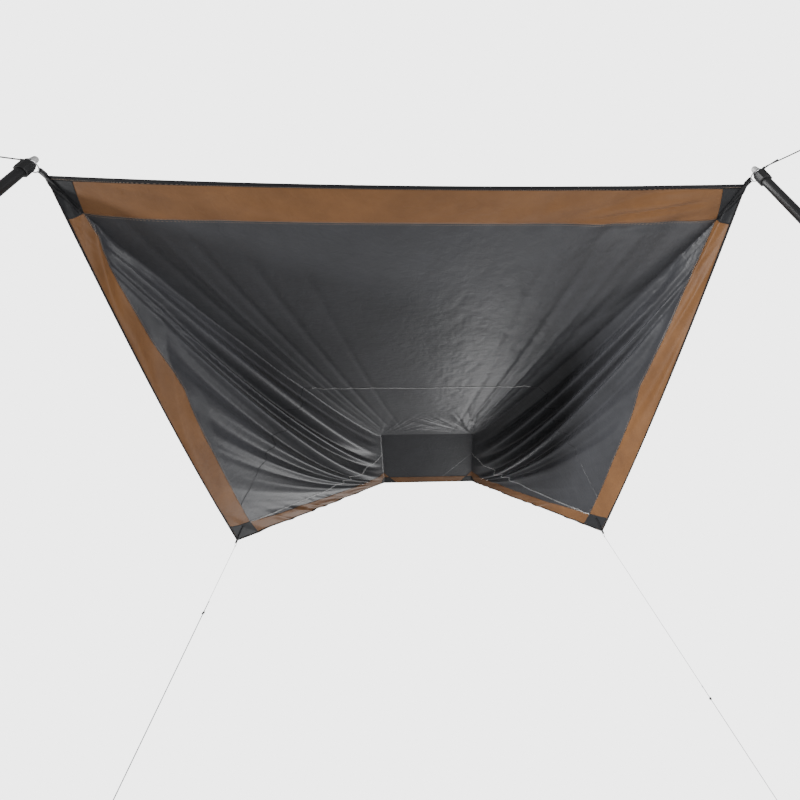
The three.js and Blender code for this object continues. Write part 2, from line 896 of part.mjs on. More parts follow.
function addPole(side, hinge, plan) {
  const ringMiddle = hinge.clone().addScaledVector(plan, ringRadius);
  const top = ringMiddle.clone().addScaledVector(plan, ringShift);
  const place = (geometry) => geometry.translate(top.x, top.y, top.z);
  const collarTop = -wireRadius - fit;
  const foot = ground - top.z;
  const bottomTubeFoot = foot + footSole + fit;
  const bottomTubeTop = bottomTubeFoot + bottomTubeLength;
  const middleTop = collarTop - collarLength + collarGrip - fit;

  const ring = new THREE.TorusGeometry(ringRadius, wireRadius, wireSegments, turnSegments);
  addNode(
    "front_ring_" + side,
    ring.translate(ringMiddle.x, ringMiddle.y, ringMiddle.z),
    materials.chrome,
  );
  addNode(
    "pole_foot_" + side,
    place(
      turned([
        [0, foot],
        [footRadius - fluteDepth, foot],
        [footRadius, foot + fluteDepth],
        [footRadius, foot + footSole],
        [bottomTubeRadius + 2 * tubeWall, foot + footHeight],
        [bottomTubeRadius + fit, foot + footHeight],
        [bottomTubeRadius + fit, foot + footSole],
        [0, foot + footSole],
      ]),
    ),
    materials.rubber,
  );
  addNode(
    "pole_bottom_tube_" + side,
    place(pipe(bottomTubeRadius, tubeWall, bottomTubeFoot, bottomTubeTop)),
    materials.blackTube,
  );
  addNode(
    "pole_lower_collar_" + side,
    place(
      collar(bottomTubeRadius, middleTubeRadius).translate(
        0,
        0,
        bottomTubeTop + fit + collarLength - collarGrip,
      ),
    ),
    materials.blackPlastic,
  );
  addNode(
    "pole_middle_tube_" + side,
    place(pipe(middleTubeRadius, tubeWall, bottomTubeTop - middleTubeOverlap, middleTop)),
    materials.blackTube,
  );
  addNode(
    "pole_upper_collar_" + side,
    place(collar(middleTubeRadius, topTubeRadius).translate(0, 0, collarTop)),
    materials.blackPlastic,
  );
  addNode(
    "pole_top_tube_" + side,
    place(pipe(topTubeRadius, tubeWall, tubeAboveRing - topTubeLength, tubeAboveRing)),
    materials.aluminium,
  );
  const tipFoot = tubeAboveRing + fit;
  const plugRadius = topTubeRadius - tubeWall - fit;
  addNode(
    "pole_tip_" + side,
    place(
      turned([
        [0, tubeAboveRing - tipSpigot],
        [plugRadius, tubeAboveRing - tipSpigot],
        [plugRadius, tipFoot],
        [topTubeRadius, tipFoot],
        [topTubeRadius, tipFoot + tipLength * tipShares.shoulder],
        [topTubeRadius - fluteDepth, tipFoot + tipLength * tipShares.waist],
        [tipRadius + fluteDepth, tipFoot + tipLength * tipShares.neck],
        [tipRadius, tipFoot + tipLength * tipShares.cap],
        [tipRadius / 2, tipFoot + tipLength],
        [0, tipFoot + tipLength],
      ]),
    ),
    materials.tip,
  );
  return top;
}

function addFrontLine(side, top, route) {
  const aim = new THREE.Vector3(...frontLineAimShares[side]).normalize();
  const level = new THREE.Vector3(aim.x, aim.y, 0).normalize();
  const eyeRadius = topTubeRadius + fit + frontLineRadius;
  const eyeMiddle = top.clone();
  eyeMiddle.z += wireRadius + fit + frontLineRadius * knotRadiusShare;
  const cross = new THREE.Vector3(-level.y, level.x, 0);
  const knotStart = eyeMiddle.clone().addScaledVector(level, eyeRadius - frontLineRadius / 2);
  const levelFrame = { origin: knotStart, outward: level, across: cross };
  addNode(
    "front_guyline_eye_" + side,
    join(
      eye(eyeMiddle, level, cross, eyeRadius, frontLineRadius),
      knot(levelFrame, frontLineRadius),
    ),
    materials.blackCord,
  );
  const start = knotStart.clone().addScaledVector(level, knotLength + 2 * fit);
  const across = new THREE.Vector3(-aim.y, aim.x, 0).normalize();
  const upward = aim.clone().cross(across);
  if (upward.z < 0) upward.negate();
  const frame = { origin: start, outward: aim, across: upward };
  const points = route.map((point) => alongFrame(frame, point));
  addNode(
    "front_guyline_" + side,
    line(points, frontLineRadius, frontLineSides, frontLineSteps),
    materials.blackCord,
  );
  const end = alongFrame(frame, route.at(-1)).addScaledVector(aim, fit);
  const endFrame = { origin: end, outward: aim, across };
  const endMiddle = end.clone().addScaledVector(aim, knotLength + eyeRadius - frontLineRadius / 2);
  addNode(
    "front_guyline_end_" + side,
    join(
      knot(endFrame, frontLineRadius),
      eye(endMiddle, aim, across, eyeRadius, frontLineRadius),
    ),
    materials.blackCord,
  );
}

function runnerGeometry() {
  const half = strandSpacing / 2;
  const body = new THREE.Shape();
  body.absarc(half, 0, runnerWidth / 2, -Math.PI / 2, Math.PI / 2, false);
  body.quadraticCurveTo(0, runnerWidth / 4, -half, runnerWidth / 2);
  body.absarc(-half, 0, runnerWidth / 2, Math.PI / 2, (3 * Math.PI) / 2, false);
  body.quadraticCurveTo(0, -runnerWidth / 4, half, -runnerWidth / 2);
  for (const middle of [-half, half]) {
    const bore = new THREE.Path();
    bore.absarc(middle, 0, sideLineRadius + fit, 0, 2 * Math.PI, false);
    body.holes.push(bore);
  }
  const runner = new THREE.ExtrudeGeometry(body, {
    depth: runnerThickness,
    bevelEnabled: false,
    curveSegments: runnerSegments,
  });
  return runner.translate(half, 0, -runnerThickness / 2);
}

function addSideLine(side, frame, route) {
  const aim = new THREE.Vector3(...sideLineAimShares[side]).normalize();
  const boreMiddle = frame.origin
    .clone()
    .addScaledVector(frame.outward, lineLoopReach)
    .addScaledVector(frame.up, strapLevel);
  const { across } = frame;
  const hang = aim.clone().addScaledVector(across, -aim.dot(across)).normalize();
  const eyeMiddle = boreMiddle.clone().addScaledVector(hang, sideEyeRadius);
  const knotStart = eyeMiddle
    .clone()
    .addScaledVector(hang, sideEyeRadius - sideLineRadius / 2);
  const start = lineFrame(knotStart, aim);
  addNode(
    "side_guyline_knot_" + side,
    join(
      eye(eyeMiddle, hang, across, sideEyeRadius, sideLineRadius),
      knot(start, sideLineRadius),
    ),
    materials.lightCord,
  );
  const below = knotStart.clone().addScaledVector(aim, knotLength + fit);
  const lineStart = { ...start, origin: below };
  const points = route.map((point) => alongFrame(lineStart, point));
  const bendStart = route.findLastIndex(([, aside]) => aside === route[0][1]);
  const bendEnd = route.findIndex(([, aside]) => aside === route.at(-1)[1]);
  const bend = points.slice(bendStart, bendEnd + 1);
  addNode(
    "side_guyline_" + side,
    join(
      line([points[0], bend[0]], sideLineRadius, sideLineSides, sideLineSteps),
      line(bend, sideLineRadius, sideLineSides, bendSteps),
      line([bend.at(-1), points.at(-1)], sideLineRadius, sideLineSides, sideLineSteps),
    ),
    materials.lightCord,
  );
  const runnerMiddle = alongFrame(lineStart, [runnerAt[side], 0]);
  const matrix = new THREE.Matrix4().makeBasis(start.across, start.up, start.outward);
  addNode(
    "side_guyline_runner_" + side,
    runnerGeometry().applyMatrix4(matrix.setPosition(runnerMiddle)),
    materials.blackPlastic,
  );
  const [tailAlong, tailAside] = route.at(-1);
  const tailFrame = {
    origin: alongFrame(lineStart, [tailAlong - fit, tailAside]),
    outward: start.outward.clone().negate(),
    across: start.across,
  };
  addNode("side_guyline_stopper_" + side, knot(tailFrame, sideLineRadius), materials.lightCord);
}

const frontRoutes = { left: frontRouteLeft, right: frontRouteRight };
const sideRoutes = { left: sideRouteLeft, right: sideRouteRight };
const lineBore = sideEyeRadius - Math.sqrt(sideEyeRadius ** 2 - (lineLoopWidth / 2) ** 2);

for (const side of ["left", "right"]) {
  const frontFrame = cornerFrame(cornerIndex("front", side), true);
  strap(
    "front_strap_" + side,
    cornerIndex("front", side),
    frontFrame,
    ringLoopReach,
    ringBore,
    ringLoopWidth,
  );
  const hinge = frontFrame.origin
    .clone()
    .addScaledVector(frontFrame.outward, ringLoopReach)
    .addScaledVector(frontFrame.up, strapLevel);
  const plan = new THREE.Vector3(frontFrame.outward.x, frontFrame.outward.y, 0).normalize();
  const top = addPole(side, hinge, plan);
  addFrontLine(side, top, frontRoutes[side]);

  const sideFrame = cornerFrame(cornerIndex("side", side), false);
  const sideBore = lineBore + sideLineRadius + 2 * fit;
  strap(
    "side_strap_" + side,
    cornerIndex("side", side),
    sideFrame,
    lineLoopReach,
    sideBore,
    lineLoopWidth,
  );
  addSideLine(side, sideFrame, sideRoutes[side]);
}

export default canopy;
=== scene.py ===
"""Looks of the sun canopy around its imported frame. Metres, in the frame's own axes."""

import math

import bmesh
import bpy
import numpy as np
from mathutils import Matrix, Vector


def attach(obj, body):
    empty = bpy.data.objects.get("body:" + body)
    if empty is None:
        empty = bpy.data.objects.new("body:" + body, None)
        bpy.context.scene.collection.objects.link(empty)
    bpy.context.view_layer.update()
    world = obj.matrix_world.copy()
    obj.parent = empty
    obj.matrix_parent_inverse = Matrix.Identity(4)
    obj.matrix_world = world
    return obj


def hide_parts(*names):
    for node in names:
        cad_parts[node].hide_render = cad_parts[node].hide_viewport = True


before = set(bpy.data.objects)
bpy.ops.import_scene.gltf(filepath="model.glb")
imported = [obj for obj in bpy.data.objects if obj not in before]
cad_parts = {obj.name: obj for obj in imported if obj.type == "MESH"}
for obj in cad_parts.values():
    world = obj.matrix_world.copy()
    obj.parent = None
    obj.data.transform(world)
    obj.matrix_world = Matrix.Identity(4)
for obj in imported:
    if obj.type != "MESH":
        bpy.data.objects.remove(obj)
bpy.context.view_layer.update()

# ---------------------------------------------------------------- camera
CAMERA_PLACE = Vector((0.0839, -5.1843, -3.3693))
PITCH, YAW, ROLL = 0.699, 0.0658, -0.0533
LENS, SENSOR = 21.42, 36
SHIFT_X = -0.0716


def add_camera():
    ahead = Vector(
        (math.sin(YAW) * math.cos(PITCH), math.cos(YAW) * math.cos(PITCH), math.sin(PITCH))
    )
    level = Vector((math.cos(YAW), -math.sin(YAW), 0))
    above = level.cross(ahead)
    right = math.cos(ROLL) * level + math.sin(ROLL) * above
    up = math.cos(ROLL) * above - math.sin(ROLL) * level
    turn = Matrix((right, up, -ahead)).transposed()
    data = bpy.data.cameras.new("camera")
    data.lens = LENS
    data.sensor_width = SENSOR
    data.shift_x = SHIFT_X
    camera = bpy.data.objects.new("camera", data)
    bpy.context.scene.collection.objects.link(camera)
    camera.matrix_world = Matrix.Translation(CAMERA_PLACE) @ turn.to_4x4()
    bpy.context.scene.camera = camera


add_camera()

# ---------------------------------------------------------------- sizes of the spread sheet
HALF_WIDTH = 1.32
FRONT_REACH = 3.78
FRONT_DROP = 1.565
SIDE_REACH = 1.35
SIDE_DROP = 1.894
ROOF_FRONT, ROOF_REAR = 0.55, 0.6  # half of the roof panel's width at its two ends
ROOF_LENGTH = 1.12
FRONT_SAG = 0.05
SIDE_SAG = 0.035
PANEL_SAG = 0.1
CREASE_SAG = 0.12
CREASE_FULLNESS = 0.55
FOLD_HEIGHT = 0.070
FOLD_FULLNESS = 1.5
FAN_SPREAD = 0.15
BORDER = 0.2
REAR_BORDER = 0.14
CROSS_SEAM = 2.12  # from the front edge
DIAGONAL_SHARE = 0.37  # of the roof panel's side, where a diagonal seam meets it
BINDING = 0.017
CLOTH = 0.0007
WEBBING_WIDTH = 0.036
WEBBING = 0.0015
STRAP_MARGIN = 0.018

# Loops of the straps: reach past the corner, width and the radius that they turn round
LOOPS = {"front": (0.02, 0.018, 0.0046), "side": (0.016, 0.01, 0.0036)}

# Levels off the spread sheet: above it, or below it where negative
PANEL_LEVELS = {
    "front_panel": 0.0012, "roof_panel": 0.0004,
    "rear_gore_right": 0.0012, "rear_gore_left": 0.0012,
}
BORDER_LEVEL = -0.0006
PATCH_LEVEL = -0.0014
STRAP_LEVELS = -0.0042, 0.0052
PANEL_THREAD_LEVELS = -0.0024, 0.003
BORDER_THREAD_LEVELS = -0.003, 0.0034

# Distances between the points of a mesh
PANEL_SPACING = 0.009
BORDER_SPACING = 0.012
PATCH_SPACING = 0.008
BINDING_SPACING = 0.015

# How the straps gather the front corners: strength, depth inward and length along the side
PULL_ALONG, PULL_ALONG_DEPTH, PULL_ALONG_LENGTH = 0.48, 0.11, 0.5
PULL_INWARD, PULL_INWARD_DEPTH, PULL_INWARD_LENGTH = 1.4, 0.3, 1.1

# Fold lines of the wings: place in the fan, height
LEFT_FOLDS = [
    (0, 0), (0.18, 0.3), (0.36, 1), (0.51, -0.75), (0.6, 0.3), (0.7, -0.7), (0.87, 0.8),
    (1.07, -0.5), (1.185, 0.5), (1.29, -0.35), (1.38, 0.25), (1.465, -0.25), (1.58, 0.1),
    (1.76, -0.1), (2, 0),
]
RIGHT_FOLDS = [
    (0, 0), (0.2, -0.4), (0.42, 0.8), (0.55, -0.6), (0.7, 0.6), (0.85, -0.6), (1, 0.8),
    (1.12, -0.4), (1.2, 0.35), (1.3, -0.35), (1.42, 0.2), (1.56, -0.15), (1.76, 0.1), (2, 0),
]

# Straight folds of the front panel: place across it, width, height
PANEL_FOLDS = [
    (-0.9, 0.022, 0.011), (-0.83, 0.014, -0.007), (-0.74, 0.02, 0.009), (-0.6, 0.024, 0.007),
    (-0.42, 0.026, 0.004), (0.88, 0.03, 0.009), (0.78, 0.02, -0.007), (0.66, 0.022, 0.007),
    (0.5, 0.026, 0.004),
]

# Heights of the wings' wrinkles: far from the crease and near it
BROAD_WRINKLE = 0.009, 0.016
SHARP_WRINKLE = 0.003, 0.009
THIN_WRINKLE = 0.0008, 0.002
REAR_RIPPLE = 0.011
SIDE_RIPPLE = 0.017

# Heights of the front panel's wrinkles
PANEL_SWELL = 0.004
COARSE_CRINKLE, FINE_CRINKLE = 0.0016, 0.0008
SLANTING_FOLD = 0.006
FRONT_RIPPLE = {"left": 0.009, "right": 0.016}
CORNER_RAYS = {"left": 0.006, "right": 0.012}

# Seeds of the noise. A wing uses its own and the four that follow it
LEFT_WING_SEED, RIGHT_WING_SEED = 11, 23
SWELL_SEED, COARSE_SEED, FINE_SEED, SLANT_SEED, RIPPLE_SEED = 41, 42, 43, 44, 45
BROAD_RAY_SEED, SHARP_RAY_SEED = 50, 60

FRONT = np.array((HALF_WIDTH, -ROOF_LENGTH / 2 - FRONT_REACH, -FRONT_DROP))
SIDE = np.array((HALF_WIDTH, -ROOF_LENGTH / 2 - SIDE_REACH, -SIDE_DROP))
ROOF_A = np.array((ROOF_FRONT, -ROOF_LENGTH / 2, 0))
ROOF_B = np.array((ROOF_REAR, ROOF_LENGTH / 2, 0))
PANEL_LENGTH = math.hypot(FRONT_REACH, FRONT_DROP)


def outer_meeting(a, from_a, b, from_b):
    """The point at the given distances from a and b, on the outer side of the line between them."""
    span = b - a
    length = np.hypot(*span)
    along = (from_a**2 - from_b**2 + length**2) / (2 * length)
    out = math.sqrt(from_a**2 - along**2)
    unit = span / length
    return a + unit * along + np.array((unit[1], -unit[0])) * out


FLAT_FRONT = np.array((HALF_WIDTH, 0.0))
FLAT_ROOF_A = np.array((ROOF_FRONT, PANEL_LENGTH))
FLAT_ROOF_B = np.array((ROOF_REAR, PANEL_LENGTH + ROOF_LENGTH))
FLAT_SIDE = outer_meeting(
    FLAT_FRONT, np.linalg.norm(FRONT - SIDE), FLAT_ROOF_A, np.linalg.norm(ROOF_A - SIDE)
)
INWARD = np.cross(SIDE - ROOF_A, FRONT - ROOF_A)
INWARD /= -np.linalg.norm(INWARD) * np.sign(INWARD[0])
SIDE_INWARD = np.array((FLAT_FRONT[1] - FLAT_SIDE[1], FLAT_SIDE[0] - FLAT_FRONT[0]))
SIDE_INWARD /= np.linalg.norm(SIDE_INWARD)


# ---------------------------------------------------------------- helpers for shapes
def smooth(low, high, value):
    share = np.clip((value - low) / (high - low), 0, 1)
    return share * share * (3 - 2 * share)


def mix(a, b, share):
    return a + (b - a) * share


def belly(down):
    down = np.clip(down, 0, 1)
    return 4 * down * (1 - down)


NOISE_TABLES = {}
NOISE_CELLS = 64


def noise(x, y, seed):
    """Smooth noise from -1 to 1 on a grid of unit cells."""
    if seed not in NOISE_TABLES:
        draw = np.random.default_rng(seed)
        NOISE_TABLES[seed] = draw.uniform(-1, 1, (NOISE_CELLS, NOISE_CELLS))
    table = NOISE_TABLES[seed]
    x0, y0 = np.floor(x).astype(int), np.floor(y).astype(int)
    fx, fy = x - x0, y - y0
    fx, fy = fx * fx * (3 - 2 * fx), fy * fy * (3 - 2 * fy)
    x0, y0, x1, y1 = (index % NOISE_CELLS for index in (x0, y0, x0 + 1, y0 + 1))
    return mix(mix(table[x0, y0], table[x1, y0], fx), mix(table[x0, y1], table[x1, y1], fx), fy)


def creased(x, y, seed):
    """Noise with sharp ridges, from -1 to 1."""
    return 1 - 2 * np.abs(noise(x, y, seed))


def waves(places, heights, value):
    """Rounded folds between lines of given places and heights."""
    places, heights = np.array(places), np.array(heights)
    index = np.clip(np.searchsorted(places, value) - 1, 0, len(places) - 2)
    share = smooth(0, 1, (value - places[index]) / (places[index + 1] - places[index]))
    return mix(heights[index], heights[index + 1], share)


# ---------------------------------------------------------------- the draped sheet
def centre_place(u, v):
    down = np.clip(1 - v / PANEL_LENGTH, 0, 1)
    across = np.clip(u / mix(ROOF_FRONT, HALF_WIDTH, down), -1, 1)
    x = across * mix(ROOF_FRONT, HALF_WIDTH, down)
    y = -ROOF_LENGTH / 2 - FRONT_REACH * down
    z = -(FRONT_DROP + FRONT_SAG * (1 - across**2)) * down
    z -= mix(PANEL_SAG * belly(down), CREASE_SAG * belly(down) ** CREASE_FULLNESS, across**2)
    return np.stack((x, y, z), -1), across, down


def wing_shares(u, v):
    """Where a point of the flat wing lies: share along the roof edge, share down to the hem."""
    a, b, c, d = FLAT_ROOF_A, FLAT_ROOF_B, FLAT_FRONT, FLAT_SIDE
    along, down = np.full_like(u, 0.5), np.full_like(u, 0.5)
    for _ in range(12):
        point = [
            a[i] + along * (b - a)[i] + down * (c - a)[i] + along * down * (a - b - c + d)[i]
            for i in (0, 1)
        ]
        miss = point[0] - u, point[1] - v
        by_along = [(b - a)[i] + down * (a - b - c + d)[i] for i in (0, 1)]
        by_down = [(c - a)[i] + along * (a - b - c + d)[i] for i in (0, 1)]
        turn = by_along[0] * by_down[1] - by_along[1] * by_down[0]
        turn = np.where(np.abs(turn) < 1e-9, 1e-9, turn)
        along = np.clip(along - (miss[0] * by_down[1] - miss[1] * by_down[0]) / turn, -0.2, 1.2)
        down = np.clip(down - (by_along[0] * miss[1] - by_along[1] * miss[0]) / turn, 0, 1.1)
    return np.clip(along, 0, 1), np.clip(down, 0, 1)


def fold_at(along, down):
    """The place in the fan of folds, from 0 at the crease to 2 at the rear edge."""
    narrow = 1 - FAN_SPREAD
    first = along / (narrow * (1 - down) + FAN_SPREAD / 2)
    second = (along - narrow * (1 - 2 * down)) / (narrow * down + FAN_SPREAD / 2)
    return np.clip(np.where(first <= 1, first, second), 0, 2)


def wing_place(u, v, side):
    along, down = wing_shares(u, v)
    fold = fold_at(along, down)
    places, heights = zip(*(LEFT_FOLDS if side < 0 else RIGHT_FOLDS))
    inner = mix(ROOF_A, ROOF_B, along[:, None])
    outer = mix(FRONT, SIDE, along[:, None])
    place = mix(inner, outer, down[:, None])
    place[:, 2] -= SIDE_SAG * belly(along) * down
    place[:, 2] -= CREASE_SAG * belly(down) ** CREASE_FULLNESS * (1 - along**4)
    hem = smooth(0.01, 0.2, 1 - down)
    height = FOLD_HEIGHT * waves(places, heights, fold) * belly(down) ** FOLD_FULLNESS
    height *= mix(0.15, 1, hem)
    height += wing_wrinkles(fold, along, down, side)
    place += INWARD * height[:, None]
    place[:, 0] *= side
    return place


def wing_wrinkles(fold, along, down, side):
    """Fine folds that run with the fan, ripples at the rear edge and folds of the side border."""
    seed = LEFT_WING_SEED if side < 0 else RIGHT_WING_SEED
    near_crease = smooth(1.35, 0.55, fold)
    height = noise(fold * 12, down * 1.2, seed) * mix(*BROAD_WRINKLE, near_crease)
    fine = creased(fold * 17, down * 0.8, seed + 1) * mix(*SHARP_WRINKLE, near_crease)
    fine += noise(fold * 36, down * 1.1, seed + 2) * mix(*THIN_WRINKLE, near_crease)
    height += fine * smooth(0.05, 0.55, down)
    height *= smooth(0, 0.2, fold) * smooth(2.0, 1.9, fold) * belly(down) ** 0.6
    height *= mix(0.2, 1, smooth(0.03, 0.16, 1 - down))
    rear = smooth(1.66, 1.9, fold) * belly(down) ** 0.4
    height += creased(down * 15 + fold * 9, fold * 3, seed + 3) * REAR_RIPPLE * rear
    border = smooth(0.16, 0.07, 1 - down) * smooth(0, 0.03, 1 - down)
    slant = along * 6 + (1 - down) * (26 if side < 0 else -22)
    border *= smooth(1.0, 0.05, along)
    height += creased(slant, along * 2, seed + 4) * SIDE_RIPPLE * border
    return height


def centre_wrinkles(across, down, u, v):
    """Shallow creases of the front panel and ripples of the front border, along z."""
    reach = np.abs(u)
    height = noise(u * 3.1, v * 2.3, SWELL_SEED) * PANEL_SWELL * belly(down)
    crinkle = creased(u * 10 + v * 4, v * 6 - u * 3, COARSE_SEED) * COARSE_CRINKLE
    crinkle += creased(u * 26, v * 19 + u * 8, FINE_SEED) * FINE_CRINKLE
    height += crinkle * mix(0.25, 1, smooth(-0.1, 0.35, u)) * belly(down) ** 0.6
    for place, width, depth in PANEL_FOLDS:
        height += depth * np.exp(-(((across - place) / width) ** 2)) * belly(down) ** 0.8
    area = smooth(0.1, 0.9, u) * smooth(2.1, 0.6, v) * smooth(0, 0.1, v)
    height += creased(u * 6 + v * 2.5, v * 1.2, SLANT_SEED) * SLANTING_FOLD * area
    strip = smooth(0.32, 0.14, v) * smooth(0, 0.04, v)
    strip *= smooth(0.3, 1.0, reach) * smooth(1.26, 1.08, reach)
    ripple = np.where(u > 0, FRONT_RIPPLE["right"], FRONT_RIPPLE["left"])
    height += creased(v * 15 + reach * 3.6, u * 2, RIPPLE_SEED) * ripple * strip
    for hand, side in ((1, "right"), (-1, "left")):
        gap = np.hypot(u - hand * ROOF_FRONT, v - PANEL_LENGTH)
        angle = np.arctan2(v - PANEL_LENGTH, u - hand * ROOF_FRONT)
        rays = noise(angle * 9, gap * 1.5, BROAD_RAY_SEED + hand)
        rays += 0.6 * creased(angle * 17, gap * 2, SHARP_RAY_SEED + hand)
        rays *= smooth(0, 0.25, gap) * smooth(1.5, 0.3, gap) * smooth(0, 0.12, down)
        height += CORNER_RAYS[side] * rays
    return height


def gathered(pattern):
    """Where points of the cut cloth lie once the straps have drawn the front corners together."""
    side = np.where(pattern[:, 0] < 0, -1, 1)
    v = pattern[:, 1]
    depth = np.stack((np.abs(pattern[:, 0]) - HALF_WIDTH, v), -1) @ SIDE_INWARD
    along, inset = v.copy(), depth.copy()
    for _ in range(40):
        near = np.exp(-np.maximum(inset, 0) / PULL_ALONG_DEPTH)
        pull_along = 1 + PULL_ALONG * near * np.exp(-((along / PULL_ALONG_LENGTH) ** 2))
        near = np.exp(-((inset / PULL_INWARD_DEPTH) ** 2))
        pull_inset = 1 + PULL_INWARD * np.maximum(0, 1 - along / PULL_INWARD_LENGTH) * near
        along, inset = (along + v / pull_along) / 2, (inset + depth / pull_inset) / 2
    reach = HALF_WIDTH + (inset - SIDE_INWARD[1] * along) / SIDE_INWARD[0]
    return np.stack((side * reach, along), -1)


def surface(flat):
    """Places in space for points of the spread sheet, an array of (u, v)."""
    u, v = flat[:, 0], flat[:, 1]
    side = np.where(u < 0, -1, 1)
    reach = np.abs(u)
    crease = mix(ROOF_FRONT, HALF_WIDTH, np.clip(1 - v / PANEL_LENGTH, 0, 1))
    roof_side = ROOF_FRONT + (ROOF_REAR - ROOF_FRONT) * (v - PANEL_LENGTH) / ROOF_LENGTH
    on_centre = (v <= PANEL_LENGTH) & (reach <= crease)
    on_roof = (v > PANEL_LENGTH) & (reach <= roof_side)
    place = np.zeros((len(u), 3))
    middle, across, down = centre_place(u[on_centre], v[on_centre])
    middle[:, 2] += centre_wrinkles(across, down, u[on_centre], v[on_centre])
    place[on_centre] = middle
    place[on_roof, 0] = u[on_roof]
    place[on_roof, 1] = v[on_roof] - PANEL_LENGTH - ROOF_LENGTH / 2
    for hand in (-1, 1):
        on_wing = ~on_centre & ~on_roof & (side == hand)
        place[on_wing] = wing_place(reach[on_wing], v[on_wing], hand)
    return place


# ---------------------------------------------------------------- limits on the flat sheet
def mirrored(point):
    return np.array((-point[0], point[1]))


def edge(start, end, width=BORDER):
    """An edge with the cloth on its left: start, inward direction, end, width of its border."""
    along = (end - start) / np.linalg.norm(end - start)
    return start, np.array((-along[1], along[0])), end, width


EDGES = {
    "front": edge(mirrored(FLAT_FRONT), FLAT_FRONT),
    "right_side": edge(FLAT_FRONT, FLAT_SIDE),
    "right_rear": edge(FLAT_SIDE, FLAT_ROOF_B, REAR_BORDER),
    "rear": edge(FLAT_ROOF_B, mirrored(FLAT_ROOF_B), REAR_BORDER),
    "left_rear": edge(mirrored(FLAT_ROOF_B), mirrored(FLAT_SIDE), REAR_BORDER),
    "left_side": edge(mirrored(FLAT_SIDE), mirrored(FLAT_FRONT)),
}
NAMES = list(EDGES)
CORNER_EDGES = {
    "front": (EDGES["front"], EDGES["right_side"]),
    "side": (EDGES["right_side"], EDGES["right_rear"]),
}
HANDS = {"left": -1, "right": 1}


def edges_in_turn():
    """Each edge's name, the edge itself, the one before it and the one after it."""
    for index, name in enumerate(NAMES):
        following = NAMES[(index + 1) % len(NAMES)]
        yield name, EDGES[name], EDGES[NAMES[index - 1]], EDGES[following]


def beyond(line, distance):
    """The half-plane further inward than a line at a distance inside an edge."""
    return line[0] + line[1] * distance, line[1]


def within(line, distance):
    """The half-plane between an edge and a line at a distance inside it."""
    return line[0] + line[1] * distance, -line[1]


def meeting(a, from_a, b, from_b):
    """Where lines parallel to two edges meet, each at its own distance inside its edge."""
    sides = np.array((a[1], b[1]))
    return np.linalg.solve(sides, (a[1] @ a[0] + from_a, b[1] @ b[0] + from_b))


# ---------------------------------------------------------------- meshes
def link(obj):
    bpy.context.scene.collection.objects.link(obj)
    return obj


def shade_smooth(data):
    data.polygons.foreach_set("use_smooth", [True] * len(data.polygons))


def add_uvs(data, uvs):
    """A uv layer from one pair for every vertex."""
    layer = data.uv_layers.new(name="flat")
    corners = np.empty(len(data.loops), dtype=np.int32)
    data.loops.foreach_get("vertex_index", corners)
    layer.data.foreach_set("uv", np.asarray(uvs, dtype=np.float32)[corners].ravel())


def grid_faces(rows, size, closed=False):
    """Quads between rows of points, size points to a row. Closed joins the ends of each row."""
    faces = []
    for low in range(0, (rows - 1) * size, size):
        high = low + size
        for i in range(size if closed else size - 1):
            following = (i + 1) % size
            faces.append((low + i, low + following, high + following, high + i))
    return faces


def mesh_object(name, points, faces, look, uvs=None):
    data = bpy.data.meshes.new(name)
    data.from_pydata([tuple(map(float, point)) for point in points], [], faces)
    shade_smooth(data)
    if uvs is not None:
        add_uvs(data, uvs)
    data.materials.append(look)
    return link(bpy.data.objects.new(name, data))


NORMAL_STEP = 0.004


def normals_at(flat):
    """Unit normals of the spread sheet, pointing off its upper face."""
    by_u = surface(flat + (NORMAL_STEP, 0)) - surface(flat - (NORMAL_STEP, 0))
    by_v = surface(flat + (0, NORMAL_STEP)) - surface(flat - (0, NORMAL_STEP))
    normal = np.cross(by_u, by_v)
    return normal / np.linalg.norm(normal, axis=1)[:, None]


def cloth_piece(node, limits, look, level, spacing):
    """A piece cut from the draped sheet by half-planes and lifted off it, and its flat corners."""
    outline = cut_corners(limits)
    low, high = outline.min(0), outline.max(0)
    counts = np.maximum(np.ceil((high - low) / spacing).astype(int), 2)
    us = np.linspace(low[0], high[0], counts[0] + 1)
    vs = np.linspace(low[1], high[1], counts[1] + 1)
    grid = np.stack(np.meshgrid(us, vs, indexing="xy"), -1).reshape(-1, 2)
    data = bpy.data.meshes.new(node)
    data.from_pydata([(u, v, 0) for u, v in grid], [], grid_faces(counts[1] + 1, counts[0] + 1))
    cut = bmesh.new()
    cut.from_mesh(data)
    for point, normal in limits:
        geometry = cut.verts[:] + cut.edges[:] + cut.faces[:]
        bmesh.ops.bisect_plane(
            cut, geom=geometry, dist=1e-5, plane_co=(*point, 0), plane_no=(*-normal, 0),
            clear_outer=True,
        )
    cut.to_mesh(data)
    cut.free()
    flat = np.empty(len(data.vertices) * 3)
    data.vertices.foreach_get("co", flat)
    flat = gathered(flat.reshape(-1, 3)[:, :2])
    place = surface(flat) + normals_at(flat) * level
    data.vertices.foreach_set("co", place.ravel())
    add_uvs(data, flat)
    shade_smooth(data)
    data.materials.append(look)
    data.update()
    piece = link(bpy.data.objects.new(node + "_cloth", data))
    shell = piece.modifiers.new("thickness", "SOLIDIFY")
    shell.thickness = CLOTH
    shell.offset = 1
    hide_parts(node)
    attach(piece, "sheet")
    return piece, outline


